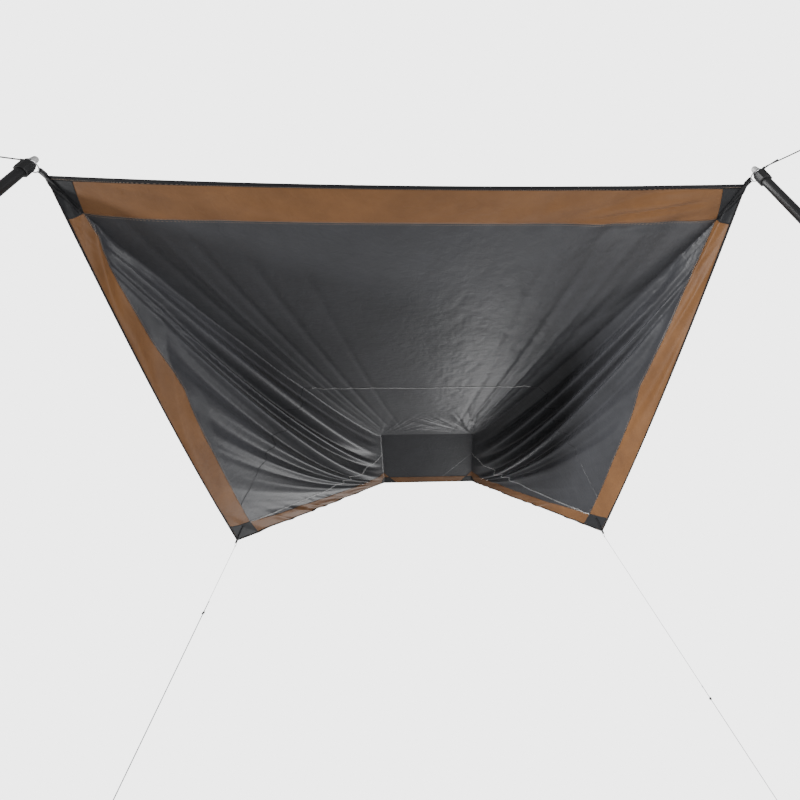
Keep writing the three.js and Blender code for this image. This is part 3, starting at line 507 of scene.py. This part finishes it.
def cut_corners(limits):
    """The corners of the convex area inside the limits."""
    area = np.array(((-4.0, -1.0), (4.0, -1.0), (4.0, 7.0), (-4.0, 7.0)))
    for point, normal in limits:
        depths = (area - point) @ normal
        kept = []
        for index, depth in enumerate(depths):
            following = (index + 1) % len(area)
            if depth >= 0:
                kept.append(area[index])
            if depth * depths[following] < 0:
                kept.append(mix(area[index], area[following], depth / (depth - depths[following])))
        area = np.array(kept)
    return area


def gathered_outline(corners, steps=24):
    """The outline of a piece once it is gathered, with points along each of its sides."""
    following = np.roll(corners, -1, 0)
    shares = np.arange(steps)[:, None, None] / steps
    return gathered(mix(corners, following, shares).transpose(1, 0, 2).reshape(-1, 2))


# ---------------------------------------------------------------- materials
def material(name):
    made = bpy.data.materials.new(name)
    made.use_nodes = True
    nodes = made.node_tree.nodes
    return made, nodes, made.node_tree.links, nodes["Principled BSDF"]


def set_inputs(node, values):
    for name, value in values.items():
        node.inputs[name].default_value = value


def ramp(nodes, links, source, low, high, colors):
    node = nodes.new("ShaderNodeValToRGB")
    for element, position, color in zip(node.color_ramp.elements, (low, high), colors):
        element.position = position
        element.color = (*color, 1)
    links.new(source, node.inputs[0])
    return node.outputs[0]


def noise_texture(nodes, links, place, scale, detail, roughness=0.5, distortion=0.0):
    node = nodes.new("ShaderNodeTexNoise")
    set_inputs(
        node, {"Scale": scale, "Detail": detail, "Roughness": roughness, "Distortion": distortion}
    )
    links.new(place, node.inputs["Vector"])
    return node.outputs["Fac"]


def bump(nodes, links, height, strength, distance):
    node = nodes.new("ShaderNodeBump")
    set_inputs(node, {"Strength": strength, "Distance": distance})
    links.new(height, node.inputs["Height"])
    return node


def fabric(name, dark, light, roughness, sheen, weave=900, crinkle=0.35, gloss=0.5):
    """Woven cloth: a fine weave, small crinkles, and tone that drifts over the cloth."""
    made, nodes, links, shader = material(name)
    flat = nodes.new("ShaderNodeUVMap")
    flat.uv_map = "flat"
    drift = noise_texture(nodes, links, flat.outputs[0], 3.5, 6, roughness=0.65)
    tone = ramp(nodes, links, drift, 0.3, 0.7, (dark, light))
    links.new(tone, shader.inputs["Base Color"])
    woven = nodes.new("ShaderNodeMath")
    woven.operation = "MAXIMUM"
    for index, direction in enumerate(("X", "Y")):
        wave = nodes.new("ShaderNodeTexWave")
        wave.bands_direction = direction
        set_inputs(wave, {"Scale": weave, "Distortion": 0.6, "Detail": 1})
        links.new(flat.outputs[0], wave.inputs["Vector"])
        links.new(wave.outputs["Fac"], woven.inputs[index])
    weave_bump = bump(nodes, links, woven.outputs[0], 0.12, 0.0004)
    small = noise_texture(nodes, links, flat.outputs[0], 22, 5, roughness=0.55, distortion=0.6)
    crinkle_bump = bump(nodes, links, small, crinkle, 0.006)
    links.new(weave_bump.outputs[0], crinkle_bump.inputs["Normal"])
    links.new(crinkle_bump.outputs[0], shader.inputs["Normal"])
    set_inputs(shader, {"Roughness": roughness, "Specular IOR Level": gloss})
    set_inputs(shader, {"Sheen Weight": sheen, "Sheen Roughness": 0.5})
    return made


def plain(name, dark, light, roughness, metallic=0.0, scale=40.0, depth=0.0002, strength=0.2):
    """A hard surface with a faint mottle in tone and a fine texture."""
    made, nodes, links, shader = material(name)
    place = nodes.new("ShaderNodeTexCoord").outputs["Object"]
    mottle = noise_texture(nodes, links, place, scale, 5)
    tone = ramp(nodes, links, mottle, 0.35, 0.65, (dark, light))
    links.new(tone, shader.inputs["Base Color"])
    grain = bump(nodes, links, noise_texture(nodes, links, place, scale * 30, 3), strength, depth)
    links.new(grain.outputs[0], shader.inputs["Normal"])
    set_inputs(shader, {"Roughness": roughness, "Metallic": metallic})
    return made


CLOTH_LOOK = fabric(
    "coated cloth", (0.027, 0.0275, 0.031), (0.037, 0.038, 0.043), 0.45, 0.04, gloss=0.32
)
BORDER_LOOK = fabric(
    "brown cloth", (0.125, 0.054, 0.0175), (0.185, 0.084, 0.029), 0.55, 0.03, gloss=0.3
)
PATCH_LOOK = fabric(
    "black cloth", (0.012, 0.0125, 0.014), (0.018, 0.0185, 0.021), 0.6, 0.02, gloss=0.25
)
BINDING_LOOK = fabric(
    "binding tape", (0.007, 0.007, 0.008), (0.012, 0.012, 0.014), 0.7, 0, weave=500, gloss=0.2
)
WEBBING_LOOK = fabric(
    "webbing", (0.006, 0.006, 0.007), (0.011, 0.011, 0.013), 0.6, 0.03, weave=260, gloss=0.25
)
STEEL_LOOK = plain("ring steel", (0.55, 0.55, 0.57), (0.68, 0.68, 0.7), 0.18, 1.0)
TUBE_LOOK = plain(
    "black tube", (0.011, 0.011, 0.012), (0.015, 0.015, 0.016), 0.38,
    scale=6.0, depth=0.00004, strength=0.1,
)
COLLAR_LOOK = plain(
    "black plastic", (0.010, 0.010, 0.011), (0.014, 0.014, 0.015), 0.45,
    scale=6.0, depth=0.00006, strength=0.1,
)
ALUMINIUM_LOOK = plain("satin aluminium", (0.5, 0.5, 0.52), (0.6, 0.6, 0.62), 0.32, 1.0)
TIP_LOOK = plain("light plastic", (0.5, 0.5, 0.5), (0.62, 0.62, 0.62), 0.4)
RUBBER_LOOK = plain("rubber", (0.006, 0.006, 0.006), (0.012, 0.012, 0.012), 0.8)
# The light colour of this thread is painted highlight: it makes the seam rows bright, as where they
# are seen square on and catch the light.
HIGHLIGHT_THREAD_LOOK = plain("painted highlight thread", (0.55, 0.55, 0.55), (0.88, 0.88, 0.87), 0.6, scale=4.0)
DARK_THREAD = plain("dark thread", (0.03, 0.03, 0.032), (0.07, 0.07, 0.075), 0.6, scale=6.0)
BROWN_THREAD = plain("brown thread", (0.2, 0.13, 0.09), (0.36, 0.26, 0.19), 0.6, scale=6.0)
BLACK_CORD = plain(
    "black cord", (0.008, 0.008, 0.009), (0.02, 0.02, 0.022), 0.7, scale=300, depth=0.0004
)
LIGHT_CORD = plain(
    "light cord", (0.36, 0.38, 0.41), (0.55, 0.57, 0.6), 0.7, scale=300, depth=0.0004
)

# ---------------------------------------------------------------- cords
KNOT_LENGTH = 0.015
KNOT_WRAPS = 3.2
POINTS_PER_WRAP = 10
POINTS_PER_EYE = 20
KNOT_CORD, KNOT_INSIDE = 0.92, 0.95  # radius of the knot's cord and of its hollow, to the line's
TAIL_START = 0.6  # share of the knot's length
FIT = 0.0003  # gap between a line and its knot
FRONT_RADIUS = 0.0025
SIDE_RADIUS = 0.0015
FRONT_EYE = 0.0158
SIDE_EYE = 0.009

# Routes of the lines: distance along their aim and to the side of it
FRONT_ROUTES = {
    "left": [
        (0, 0), (0.015, -0.0004), (0.03, -0.0009), (0.045, -0.0013), (0.06, -0.0017),
        (0.075, -0.002), (0.09, -0.0022), (0.105, -0.0023), (0.12, -0.0022), (0.135, -0.002),
        (0.15, -0.0017), (0.165, -0.0013), (0.18, -0.0009), (0.195, -0.0004), (0.21, 0),
    ],
    "right": [
        (0, 0), (0.015, -0.0004), (0.031, -0.0009), (0.048, -0.0014), (0.065, -0.0019),
        (0.082, -0.0023), (0.099, -0.0025), (0.116, -0.0026), (0.133, -0.0025), (0.15, -0.0023),
        (0.167, -0.0019), (0.184, -0.0014), (0.201, -0.0009), (0.218, -0.0004), (0.232, 0),
    ],
}
SIDE_ROUTES = {
    "left": [
        (0, 0), (0.19, 0), (0.38, 0), (0.57, 0), (0.76, 0), (0.95, 0), (1.14, 0), (1.33, 0),
        (1.51, 0), (1.68, 0), (1.686, 0.0016), (1.6904, 0.006), (1.692, 0.012), (1.6904, 0.018),
        (1.686, 0.0224), (1.68, 0.024), (1.5, 0.024), (1.3, 0.024), (1.1, 0.024), (0.9, 0.024),
        (0.7, 0.024), (0.55, 0.024), (0.4, 0.024),
    ],
    "right": [
        (0, 0), (0.2, 0), (0.4, 0), (0.6, 0), (0.8, 0), (1, 0), (1.2, 0), (1.4, 0), (1.58, 0),
        (1.742, 0), (1.748, 0.0016), (1.7524, 0.006), (1.754, 0.012), (1.7524, 0.018),
        (1.748, 0.0224), (1.742, 0.024), (1.64, 0.024), (1.54, 0.024), (1.44, 0.024),
        (1.34, 0.024), (1.24, 0.024), (1.14, 0.024), (1.04, 0.024),
    ],
}
FRONT_AIMS = {"left": (-0.8, -0.38, -0.47), "right": (0.43, -0.73, -0.53)}
SIDE_AIMS = {"left": (-0.15, -0.1, -1), "right": (0.3, -0.15, -1)}

# The loose end at a front knot: distance along the line, beside it and upward
TAIL = [(0, 0, 0), (0.014, 0.004, 0.001), (0.03, 0.005, -0.003), (0.046, 0.004, -0.010)]

# Where each line leaves its knot
CORD_STARTS = {
    "front_left": (-1.376805, -4.392839, -1.560985),
    "front_right": (1.364912, -4.405933, -1.560635),
    "side_left": (-1.327014, -1.900440, -1.940115),
    "side_right": (1.331699, -1.900922, -1.939005),
}


def route_points(start, aim, across, route):
    return [Vector(start) + along * aim + aside * across for along, aside in route]


def round_curve(name, radius, steps):
    data = bpy.data.curves.new(name, "CURVE")
    data.dimensions = "3D"
    data.bevel_depth = radius
    data.bevel_resolution = 3
    data.resolution_u = steps
    return data


def add_spline(data, points, closed=False):
    spline = data.splines.new("BEZIER")
    spline.bezier_points.add(len(points) - 1)
    spline.use_cyclic_u = closed
    for knot, point in zip(spline.bezier_points, points):
        knot.co = point
        knot.handle_left_type = knot.handle_right_type = "AUTO"


def cord_curve(name, points, diameter, look):
    data = round_curve(name, diameter / 2, 8)
    add_spline(data, points)
    data.materials.append(look)
    return link(bpy.data.objects.new(name, data))


def on_circle(first, second, turn):
    return first * math.cos(turn) + second * math.sin(turn)


def wraps(start, axis, radius):
    """The path of the cord that is wound round a line to make a knot."""
    first = axis.orthogonal().normalized()
    second = axis.cross(first)
    inside = radius * KNOT_INSIDE
    run = KNOT_LENGTH - 2 * inside
    coil = []
    for step in range(int(KNOT_WRAPS * POINTS_PER_WRAP) + 1):
        share = step / (KNOT_WRAPS * POINTS_PER_WRAP)
        swell = inside * (1.15 + 0.3 * math.sin(math.pi * share))
        turned = on_circle(first, second, 2 * math.pi * KNOT_WRAPS * share)
        coil.append(start + axis * (inside + run * share) + turned * swell)
    return coil


def knotted(name, node, body, radius, look, knots, eye=None, tail=None):
    """Wraps of cord round the line at each knot, given as start and axis, with an eye or a tail."""
    data = round_curve(name, radius * KNOT_CORD, 4)
    for start, axis in knots:
        add_spline(data, wraps(start, axis, radius))
    if eye:
        middle, first, second, size = eye
        turns = [2 * math.pi * step / POINTS_PER_EYE for step in range(POINTS_PER_EYE)]
        add_spline(data, [middle + on_circle(first, second, turn) * size for turn in turns], True)
    if tail:
        add_spline(data, tail)
    data.materials.append(look)
    piece = link(bpy.data.objects.new(name, data))
    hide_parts(node)
    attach(piece, body)
    return piece


def add_front_line(side):
    aim = Vector(FRONT_AIMS[side]).normalized()
    across = Vector((-aim.y, aim.x, 0)).normalized()
    upward = aim.cross(across)
    if upward.z < 0:
        upward.negate()
    start = CORD_STARTS["front_" + side]
    points = route_points(start, aim, upward, FRONT_ROUTES[side])
    line = cord_curve("front_line_" + side, points, 2 * FRONT_RADIUS, BLACK_CORD)
    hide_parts("front_guyline_" + side)
    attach(line, "pole_" + side)
    level = Vector((aim.x, aim.y, 0)).normalized()
    knot = Vector(start) - level * (KNOT_LENGTH + 2 * FIT)
    beside = Vector((-level.y, level.x, 0))
    tail_start = knot + level * KNOT_LENGTH * TAIL_START + beside * FRONT_RADIUS
    tail = [
        tail_start + level * along + beside * aside + Vector((0, 0, rise))
        for along, aside, rise in TAIL
    ]
    knotted(
        "front_line_eye_" + side, "front_guyline_eye_" + side, "pole_" + side,
        FRONT_RADIUS, BLACK_CORD, [(knot, level)],
        (knot - level * (FRONT_EYE - FRONT_RADIUS / 2), level, beside, FRONT_EYE),
        tail if side == "right" else None,
    )
    far = points[-1] + aim * FIT
    end = knotted(
        "front_line_end_" + side, "front_guyline_end_" + side, "pole_" + side,
        FRONT_RADIUS, BLACK_CORD, [(far, aim)],
        (far + aim * (KNOT_LENGTH + FRONT_EYE - FRONT_RADIUS / 2), aim, across, FRONT_EYE),
    )


def add_side_line(side):
    aim = Vector(SIDE_AIMS[side]).normalized()
    across = Vector((-aim.y, aim.x, 0)).normalized()
    if across.x < 0:
        across.negate()
    start = CORD_STARTS["side_" + side]
    points = route_points(start, aim, across, SIDE_ROUTES[side])
    line = cord_curve("side_line_" + side, points, 2 * SIDE_RADIUS, LIGHT_CORD)
    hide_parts("side_guyline_" + side)
    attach(line, "sheet")
    knot = Vector(start) - aim * (KNOT_LENGTH + FIT)
    beside = strap_frame("side", side)[2]
    hang = (aim - beside * aim.dot(beside)).normalized()
    knotted(
        "side_line_eye_" + side, "side_guyline_knot_" + side, "sheet",
        SIDE_RADIUS, LIGHT_CORD, [(knot, aim)],
        (knot - hang * (SIDE_EYE - SIDE_RADIUS / 2), hang, beside, SIDE_EYE),
    )
    stopper = knotted(
        "side_line_stopper_" + side, "side_guyline_stopper_" + side, "sheet",
        SIDE_RADIUS, LIGHT_CORD, [(points[-1] + aim * FIT, -aim)],
    )


# Straps: points across and along them, and distances from the corner
STRAP_AIM = 0.025
STRAP_POINTS_ACROSS = 7
STRAP_ROWS_UNDER, STRAP_ROWS_ABOVE, LOOP_STEPS = 26, 8, 12
STRAP_LEAVES, STRAP_ENDS_ABOVE = 0.006, 0.06
STRAP_WIDENS = 0.05
LOOP_START = 0.001
LOOP_LEVEL = -0.0018


def strap_frame(corner, side):
    """Place of a corner, directions along its strap, across it and off it, flat tip and aim."""
    hand = HANDS[side]
    first, second = CORNER_EDGES[corner]
    halving = first[1] + second[1]
    halving = halving / np.linalg.norm(halving) * (hand, 1)
    tip = second[0] * (hand, 1)
    ends = surface(np.array((tip, tip + halving * STRAP_AIM)))
    outward = Vector(ends[0] - ends[1]).normalized()
    off = Vector((0, 0, 1)) if corner == "front" else Vector(normals_at(np.array((tip,)))[0])
    across = off.cross(outward).normalized()
    return Vector(ends[0]), outward, across, outward.cross(across), tip, halving


for name in ("left", "right"):
    add_front_line(name)
    add_side_line(name)

# ---------------------------------------------------------------- cloth
SEAM_FOOT = meeting(EDGES["right_side"], BORDER, EDGES["right_rear"], REAR_BORDER)
SEAM_HEAD = mix(FLAT_ROOF_A, FLAT_ROOF_B, DIAGONAL_SHARE)
RIGHT_SEAM = edge(SEAM_FOOT, SEAM_HEAD)
LEFT_SEAM = edge(mirrored(SEAM_HEAD), mirrored(SEAM_FOOT))
CROSS = (np.array((0, CROSS_SEAM)), np.array((0.0, 1.0)))
MIDLINE = (np.zeros(2), np.array((1.0, 0.0)))
LAP = 0.006
EDGE_GAP = 0.002  # between the outer edge and the strips and patches under the binding
THREAD_LENGTH = 0.0055
THREAD_PITCH = 0.0085
THREAD_HALF = 0.0007  # half of its width
SEAM_THREAD_HALF = 2.6 * THREAD_HALF
STITCH_GAP = 0.003  # from the edge of a strip to its nearer row
ROW_GAP = 0.0045  # from a seam of the panels to each of its rows
HIGHLIGHT_ROW_SHARE = 0.93  # of the width between the creases, for the light rows of the cross seam, whose colour is painted highlight
RIM_SHARE = 0.12  # rounding of a band, of the distance between its points


def ribbon(name, node, rows, offs, half, look):
    """A band with rounded edges. Each row holds points across it, offs the directions off it."""
    points, uvs = [], []
    middle = len(rows[0]) // 2
    run = 0.0
    for index, (row, off) in enumerate(zip(rows, offs)):
        if index:
            run += float(np.linalg.norm(row[middle] - rows[index - 1][middle]))
        near_in, far_in = (row[1] - row[0]) * RIM_SHARE, (row[-2] - row[-1]) * RIM_SHARE
        near = [row[0] + near_in - off * half, row[0], row[0] + near_in + off * half]
        far = [row[-1] + far_in + off * half, row[-1], row[-1] + far_in - off * half]
        front = [point + off * half for point in row[1:-1]]
        back = [point - off * half for point in row[-2:0:-1]]
        ring = near + front + far + back
        points += ring
        span = row[-1] - row[0]
        width = float(np.linalg.norm(span))
        uvs += [(run, float((point - row[0]) @ span) / width) for point in ring]
    size = len(points) // len(rows)
    faces = grid_faces(len(rows), size, closed=True)
    faces += [tuple(range(size))[::-1], tuple(range((len(rows) - 1) * size, len(rows) * size))]
    piece = mesh_object(name, points, faces, look, uvs)
    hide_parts(node)
    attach(piece, "sheet")
    return piece


def add_strap(corner, side):
    """A strap that halves a corner patch, turns round the ring or eye and comes back on top."""
    middle, outward, across, up, tip, halving = strap_frame(corner, side)
    reach, loop_width, bore = LOOPS[corner]
    under = min(
        (line[3] - STRAP_MARGIN) / float(halving @ (line[1] * (HANDS[side], 1)))
        for line in CORNER_EDGES[corner]
    )
    shares = np.linspace(-1, 1, STRAP_POINTS_ACROSS)
    hands = np.array((-halving[1], halving[0]))
    sides = surface(tip + halving * STRAP_WIDENS + hands * np.array(((-0.01,), (0.01,))))
    if (sides[1] - sides[0]) @ np.array(across) < 0:
        hands = -hands

    def on_cloth(distances, level):
        """Rows across the band where it lies on the cloth, at a level off it."""
        middles = gathered(tip + halving * distances[:, None])
        halves = mix(loop_width / 2, WEBBING_WIDTH / 2, smooth(0, STRAP_WIDENS, distances))
        flat = middles[:, None] + hands * (shares * halves[:, None])[..., None]
        normal = normals_at(flat.reshape(-1, 2))
        place = surface(flat.reshape(-1, 2)) + normal * level
        shape = (len(distances), len(shares), 3)
        return list(place.reshape(shape)), list(normal.reshape(shape)[:, len(shares) // 2])

    def free(along, height, lean):
        """One row across the band where it is free of the cloth."""
        centre = np.array(middle + outward * along + up * height)
        rows.append(centre + np.array(across) * (shares * loop_width / 2)[:, None])
        offs.append(np.array(up) * math.cos(lean) + np.array(outward) * math.sin(lean))

    low, high = STRAP_LEVELS
    rows, offs = on_cloth(np.linspace(under, STRAP_LEAVES, STRAP_ROWS_UNDER), low)
    radius = bore + WEBBING / 2
    free(LOOP_START, low, 0)
    for step in range(LOOP_STEPS + 1):
        turn = math.pi * (step / LOOP_STEPS - 0.5)
        along = reach + radius * math.cos(turn) - WEBBING
        free(along, LOOP_LEVEL + radius * math.sin(turn), math.pi / 2 + turn)
    for place in range(1, len(offs)):
        if offs[place] @ offs[place - 1] < 0:
            offs[place] = -offs[place]
    free(LOOP_START, high, math.pi)
    above, normals = on_cloth(np.linspace(STRAP_LEAVES, STRAP_ENDS_ABOVE, STRAP_ROWS_ABOVE), high)
    rows += above
    offs += [-normal for normal in normals]
    return ribbon(
        corner + "_webbing_" + side, corner + "_strap_" + side, rows, offs, WEBBING / 2,
        WEBBING_LOOK,
    )


STRAPS = [add_strap(corner, side) for corner in ("front", "side") for side in ("left", "right")]

# Cross-sections of a stitch: place along it, height and width. Points of each: place across, rise
STITCH_SECTIONS = [(-0.5, 0, 0.3), (-0.2, 1, 1), (0.2, 1, 1), (0.5, 0, 0.3)]
STITCH_POINTS = [(-1, 0), (0, 1), (1, 0)]


def threads(name, runs, look, half=THREAD_HALF):
    """Rows of stitches. Each run is its start and end on the cut cloth and its level off it."""
    middles, alongs, levels = [], [], []
    for start, end, level in runs:
        length = float(np.linalg.norm(end - start))
        count = int(length / THREAD_PITCH)
        middles.append(start + (end - start) * ((np.arange(count) + 0.5) / count)[:, None])
        alongs.append(np.tile((end - start) / length, (count, 1)))
        levels.append(np.full(count, level))
    middles, alongs = np.concatenate(middles), np.concatenate(alongs)
    levels = np.concatenate(levels)[:, None]
    asides = np.stack((-alongs[:, 1], alongs[:, 0]), -1)
    stations = []
    for share, height, swell in STITCH_SECTIONS:
        centre = gathered(middles + alongs * share * THREAD_LENGTH)
        normal = normals_at(centre)
        for across, rise in STITCH_POINTS:
            place = surface(centre + asides * across * half * swell)
            stations.append(place + normal * (levels + np.sign(levels) * half * rise * height))
    points = np.stack(stations, 1).reshape(-1, 3)
    stitch = grid_faces(len(STITCH_SECTIONS), len(STITCH_POINTS))
    faces = [
        tuple(base + corner for corner in face)
        for base in range(0, len(points), len(stations))
        for face in stitch
    ]
    piece = mesh_object(name, points, faces, look)
    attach(piece, "sheet")


def seam_runs():
    """Start and end, on the cut cloth, of the rows along the border strips and the binding."""
    runs = []
    for _, own, before, following in edges_in_turn():
        for inset, first, last in (
            (own[3] - STITCH_GAP, before[3], following[3]),
            (own[3] + LAP, before[3], following[3]),
            (BINDING - STITCH_GAP, BINDING, BINDING),
        ):
            start, end = meeting(before, first, own, inset), meeting(own, inset, following, last)
            runs.append((start, end))
    return runs


# The pieces along each edge: name, ending of the name, and the patch at the edge's far end
EDGE_PIECES = {
    "front": ("front", "", "front_patch_right"),
    "right_side": ("side", "_right", "side_patch_right"),
    "right_rear": ("rear_side", "_right", "rear_patch_right"),
    "rear": ("rear", "", "rear_patch_left"),
    "left_rear": ("rear_side", "_left", "side_patch_left"),
    "left_side": ("side", "_left", "front_patch_left"),
}

# Each panel's limits next to the other panels, and an edge to measure it along
PANELS = {
    "front_panel": ([within(CROSS, LAP)], MIDLINE),
    "roof_panel": (
        [beyond(CROSS, -LAP), beyond(RIGHT_SEAM, -LAP), beyond(LEFT_SEAM, -LAP)], MIDLINE,
    ),
    "rear_gore_right": (
        [beyond(CROSS, 0), within(RIGHT_SEAM, LAP), beyond(MIDLINE, 0)], RIGHT_SEAM,
    ),
    "rear_gore_left": (
        [beyond(CROSS, 0), within(LEFT_SEAM, LAP), within(MIDLINE, 0)], LEFT_SEAM,
    ),
}


def add_cloth():
    inner = [beyond(EDGES[name], EDGES[name][3] - LAP) for name in NAMES]
    for name, (limits, measured) in PANELS.items():
        piece, corners = cloth_piece(
            name, inner + limits, CLOTH_LOOK, PANEL_LEVELS[name], PANEL_SPACING
        )
        declare(corners)

    for name, own, before, following in edges_in_turn():
        part, side, patch_name = EDGE_PIECES[name]
        strip = [
            within(own, own[3]), beyond(own, EDGE_GAP),
            beyond(before, before[3]), beyond(following, following[3]),
        ]
        border, corners = cloth_piece(
            part + "_border" + side, strip, BORDER_LOOK, BORDER_LEVEL, BORDER_SPACING
        )
        binding = add_binding(part + "_binding" + side, own, before, following)
        declare(corners)
        crossing = [
            within(own, own[3] + LAP), beyond(own, EDGE_GAP),
            within(following, following[3] + LAP), beyond(following, EDGE_GAP),
        ]
        patch, corners = cloth_piece(patch_name, crossing, PATCH_LOOK, PATCH_LEVEL, PATCH_SPACING)
        declare(corners)


def declare(corners):
    """Works out the outline of a piece once it is gathered, from the corners that it was cut to;
    the outline is not kept.
    """
    outline = gathered_outline(corners)


# Section of the binding: distance inside the edge and level off the cloth
BINDING_PROFILE = [
    (BINDING, -0.0022), (BINDING, -0.0027), (0.009, -0.0029), (0.002, -0.0027), (0.0004, -0.0016),
    (0.0002, 0.0006), (0.0004, 0.0022), (0.002, 0.0032), (0.009, 0.0034), (BINDING, 0.0032),
]


def add_binding(node, own, before, following):
    """A tape folded round an edge: it runs up one face, round the edge and down the other."""
    start, inward, end = own[:3]
    length = np.linalg.norm(end - start)
    along = (end - start) / length
    first_cut, last_cut = (
        math.tan(math.acos(np.clip(inward @ other[1], -1, 1)) / 2) for other in (before, following)
    )
    count = max(int(length / BINDING_SPACING), 8)
    points, uvs = [], []
    for inset, level in BINDING_PROFILE:
        runs = np.linspace(inset * first_cut, length - inset * last_cut, count + 1)
        flat = start + along * runs[:, None] + inward * inset
        points.append(surface(flat) + normals_at(flat + inward * NORMAL_STEP) * level)
        uvs.append(np.stack((runs, np.full_like(runs, inset + level * 3)), -1))
    faces = grid_faces(len(BINDING_PROFILE), count + 1)
    tape = mesh_object(
        node + "_tape", np.concatenate(points), faces, BINDING_LOOK, np.concatenate(uvs)
    )
    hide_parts(node)
    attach(tape, "sheet")
    return tape


add_cloth()


def add_threads():
    """Rows along the seams of the panels, light ones whose colour is painted highlight and dark
    ones, brown ones along the edges.
    """
    ends = [meeting(CROSS, 0, EDGES[name], BORDER) for name in ("left_side", "right_side")]
    crease = mix(ROOF_FRONT, HALF_WIDTH, 1 - CROSS_SEAM / PANEL_LENGTH) * HIGHLIGHT_ROW_SHARE
    middle, outer = [], []
    for aside in (-ROW_GAP, ROW_GAP):
        shift = np.array((0, aside))
        inner_ends = [np.array((hand * crease, CROSS_SEAM)) + shift for hand in (-1, 1)]
        middle.append(inner_ends)
        outer += [(ends[0] + shift, inner_ends[0]), (inner_ends[1], ends[1] + shift)]
        for seam in (RIGHT_SEAM, LEFT_SEAM):
            middle.append((seam[0] + seam[1] * aside, seam[2] + seam[1] * aside))
    under, over = PANEL_THREAD_LEVELS
    # The light rows under the panel seams carry painted highlight. The wing parts of the cross seam
    # get only dark rows.
    threads("seam_threads_painted_highlight", [(*run, under) for run in middle], HIGHLIGHT_THREAD_LOOK, SEAM_THREAD_HALF)
    threads("dark_threads", [(*run, over) for run in middle + outer], DARK_THREAD)
    border_rows = [(*run, level) for run in seam_runs() for level in BORDER_THREAD_LEVELS]
    threads("border_threads", border_rows, BROWN_THREAD)


add_threads()

# ---------------------------------------------------------------- looks of the frame's own pieces
LOOKS = {
    "front_ring": STEEL_LOOK,
    "pole_foot": RUBBER_LOOK,
    "pole_bottom_tube": TUBE_LOOK,
    "pole_middle_tube": TUBE_LOOK,
    "pole_lower_collar": COLLAR_LOOK,
    "pole_upper_collar": COLLAR_LOOK,
    "pole_top_tube": ALUMINIUM_LOOK,
    "pole_tip": TIP_LOOK,
    "side_guyline_runner": COLLAR_LOOK,
}
SHARP_ANGLE = math.radians(32)
for node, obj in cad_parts.items():
    for start, look in LOOKS.items():
        if node.startswith(start):
            obj.data.materials.clear()
            obj.data.materials.append(look)
            shade_smooth(obj.data)
            obj.data.set_sharp_from_angle(angle=SHARP_ANGLE)
            break

# ---------------------------------------------------------------- floor, backdrop and light
FLOOR_LEVEL = -3.62
FLOOR_CORNERS = [(-9, -12), (9, -12), (9, 3), (-9, 3)]
STUDIO_STRENGTH = 0.31  # of the world where it lights the canopy
BACKDROP_STRENGTH = 4.0  # of the world where the camera sees it

# Each light's name, place, aim, size, power and spread in degrees
LIGHTS = [
    ("key", (2.6, -5.6, -3.58), (2.6, -5.6, 0), (2.4, 1.2), 90, 180),
    ("behind", (3.4, 7.5, -1.0), (0.6, -2.4, -1.0), (5, 2.6), 300, 180),
    ("left", (-7.5, -2.8, -3.2), (1.2, -2.9, -1.7), (3.0, 0.8), 80, 42),
    ("right", (7.5, -3.2, -3.2), (-1.25, -3.2, -1.9), (3.0, 0.8), 22, 38),
    ("floor", (2.1, -1.3, -3.58), (2.1, -1.3, 0), (1.6, 1.6), 48, 180),
    ("top", (-2.0, -3.0, 5.5), (0, -2.2, 0), (5, 5), 500, 180),
]


def add_stage():
    floor = mesh_object(
        "floor", [(*corner, FLOOR_LEVEL) for corner in FLOOR_CORNERS], [(0, 1, 2, 3)],
        plain("floor", (0.8, 0.8, 0.79), (0.84, 0.84, 0.83), 0.8, scale=2.0),
    )
    world = bpy.data.worlds.new("studio")
    bpy.context.scene.world = world
    world.use_nodes = True
    nodes, links = world.node_tree.nodes, world.node_tree.links
    studio = nodes["Background"]
    set_inputs(studio, {"Color": (0.98, 0.985, 1, 1), "Strength": STUDIO_STRENGTH})
    backdrop = nodes.new("ShaderNodeBackground")
    set_inputs(backdrop, {"Color": (1, 1, 1, 1), "Strength": BACKDROP_STRENGTH})
    rays = nodes.new("ShaderNodeLightPath")
    both = nodes.new("ShaderNodeMixShader")
    links.new(rays.outputs["Is Camera Ray"], both.inputs[0])
    links.new(studio.outputs[0], both.inputs[1])
    links.new(backdrop.outputs[0], both.inputs[2])
    links.new(both.outputs[0], nodes["World Output"].inputs["Surface"])


def add_light(name, place, aim, size, power, spread):
    data = bpy.data.lights.new(name, "AREA")
    data.shape = "RECTANGLE"
    data.size, data.size_y = size
    data.energy = power
    data.spread = math.radians(spread)
    light = link(bpy.data.objects.new(name, data))
    light.location = place
    light.rotation_euler = (Vector(aim) - Vector(place)).to_track_quat("-Z", "Y").to_euler()
    light.visible_camera = False


add_stage()
for light in LIGHTS:
    add_light(*light)
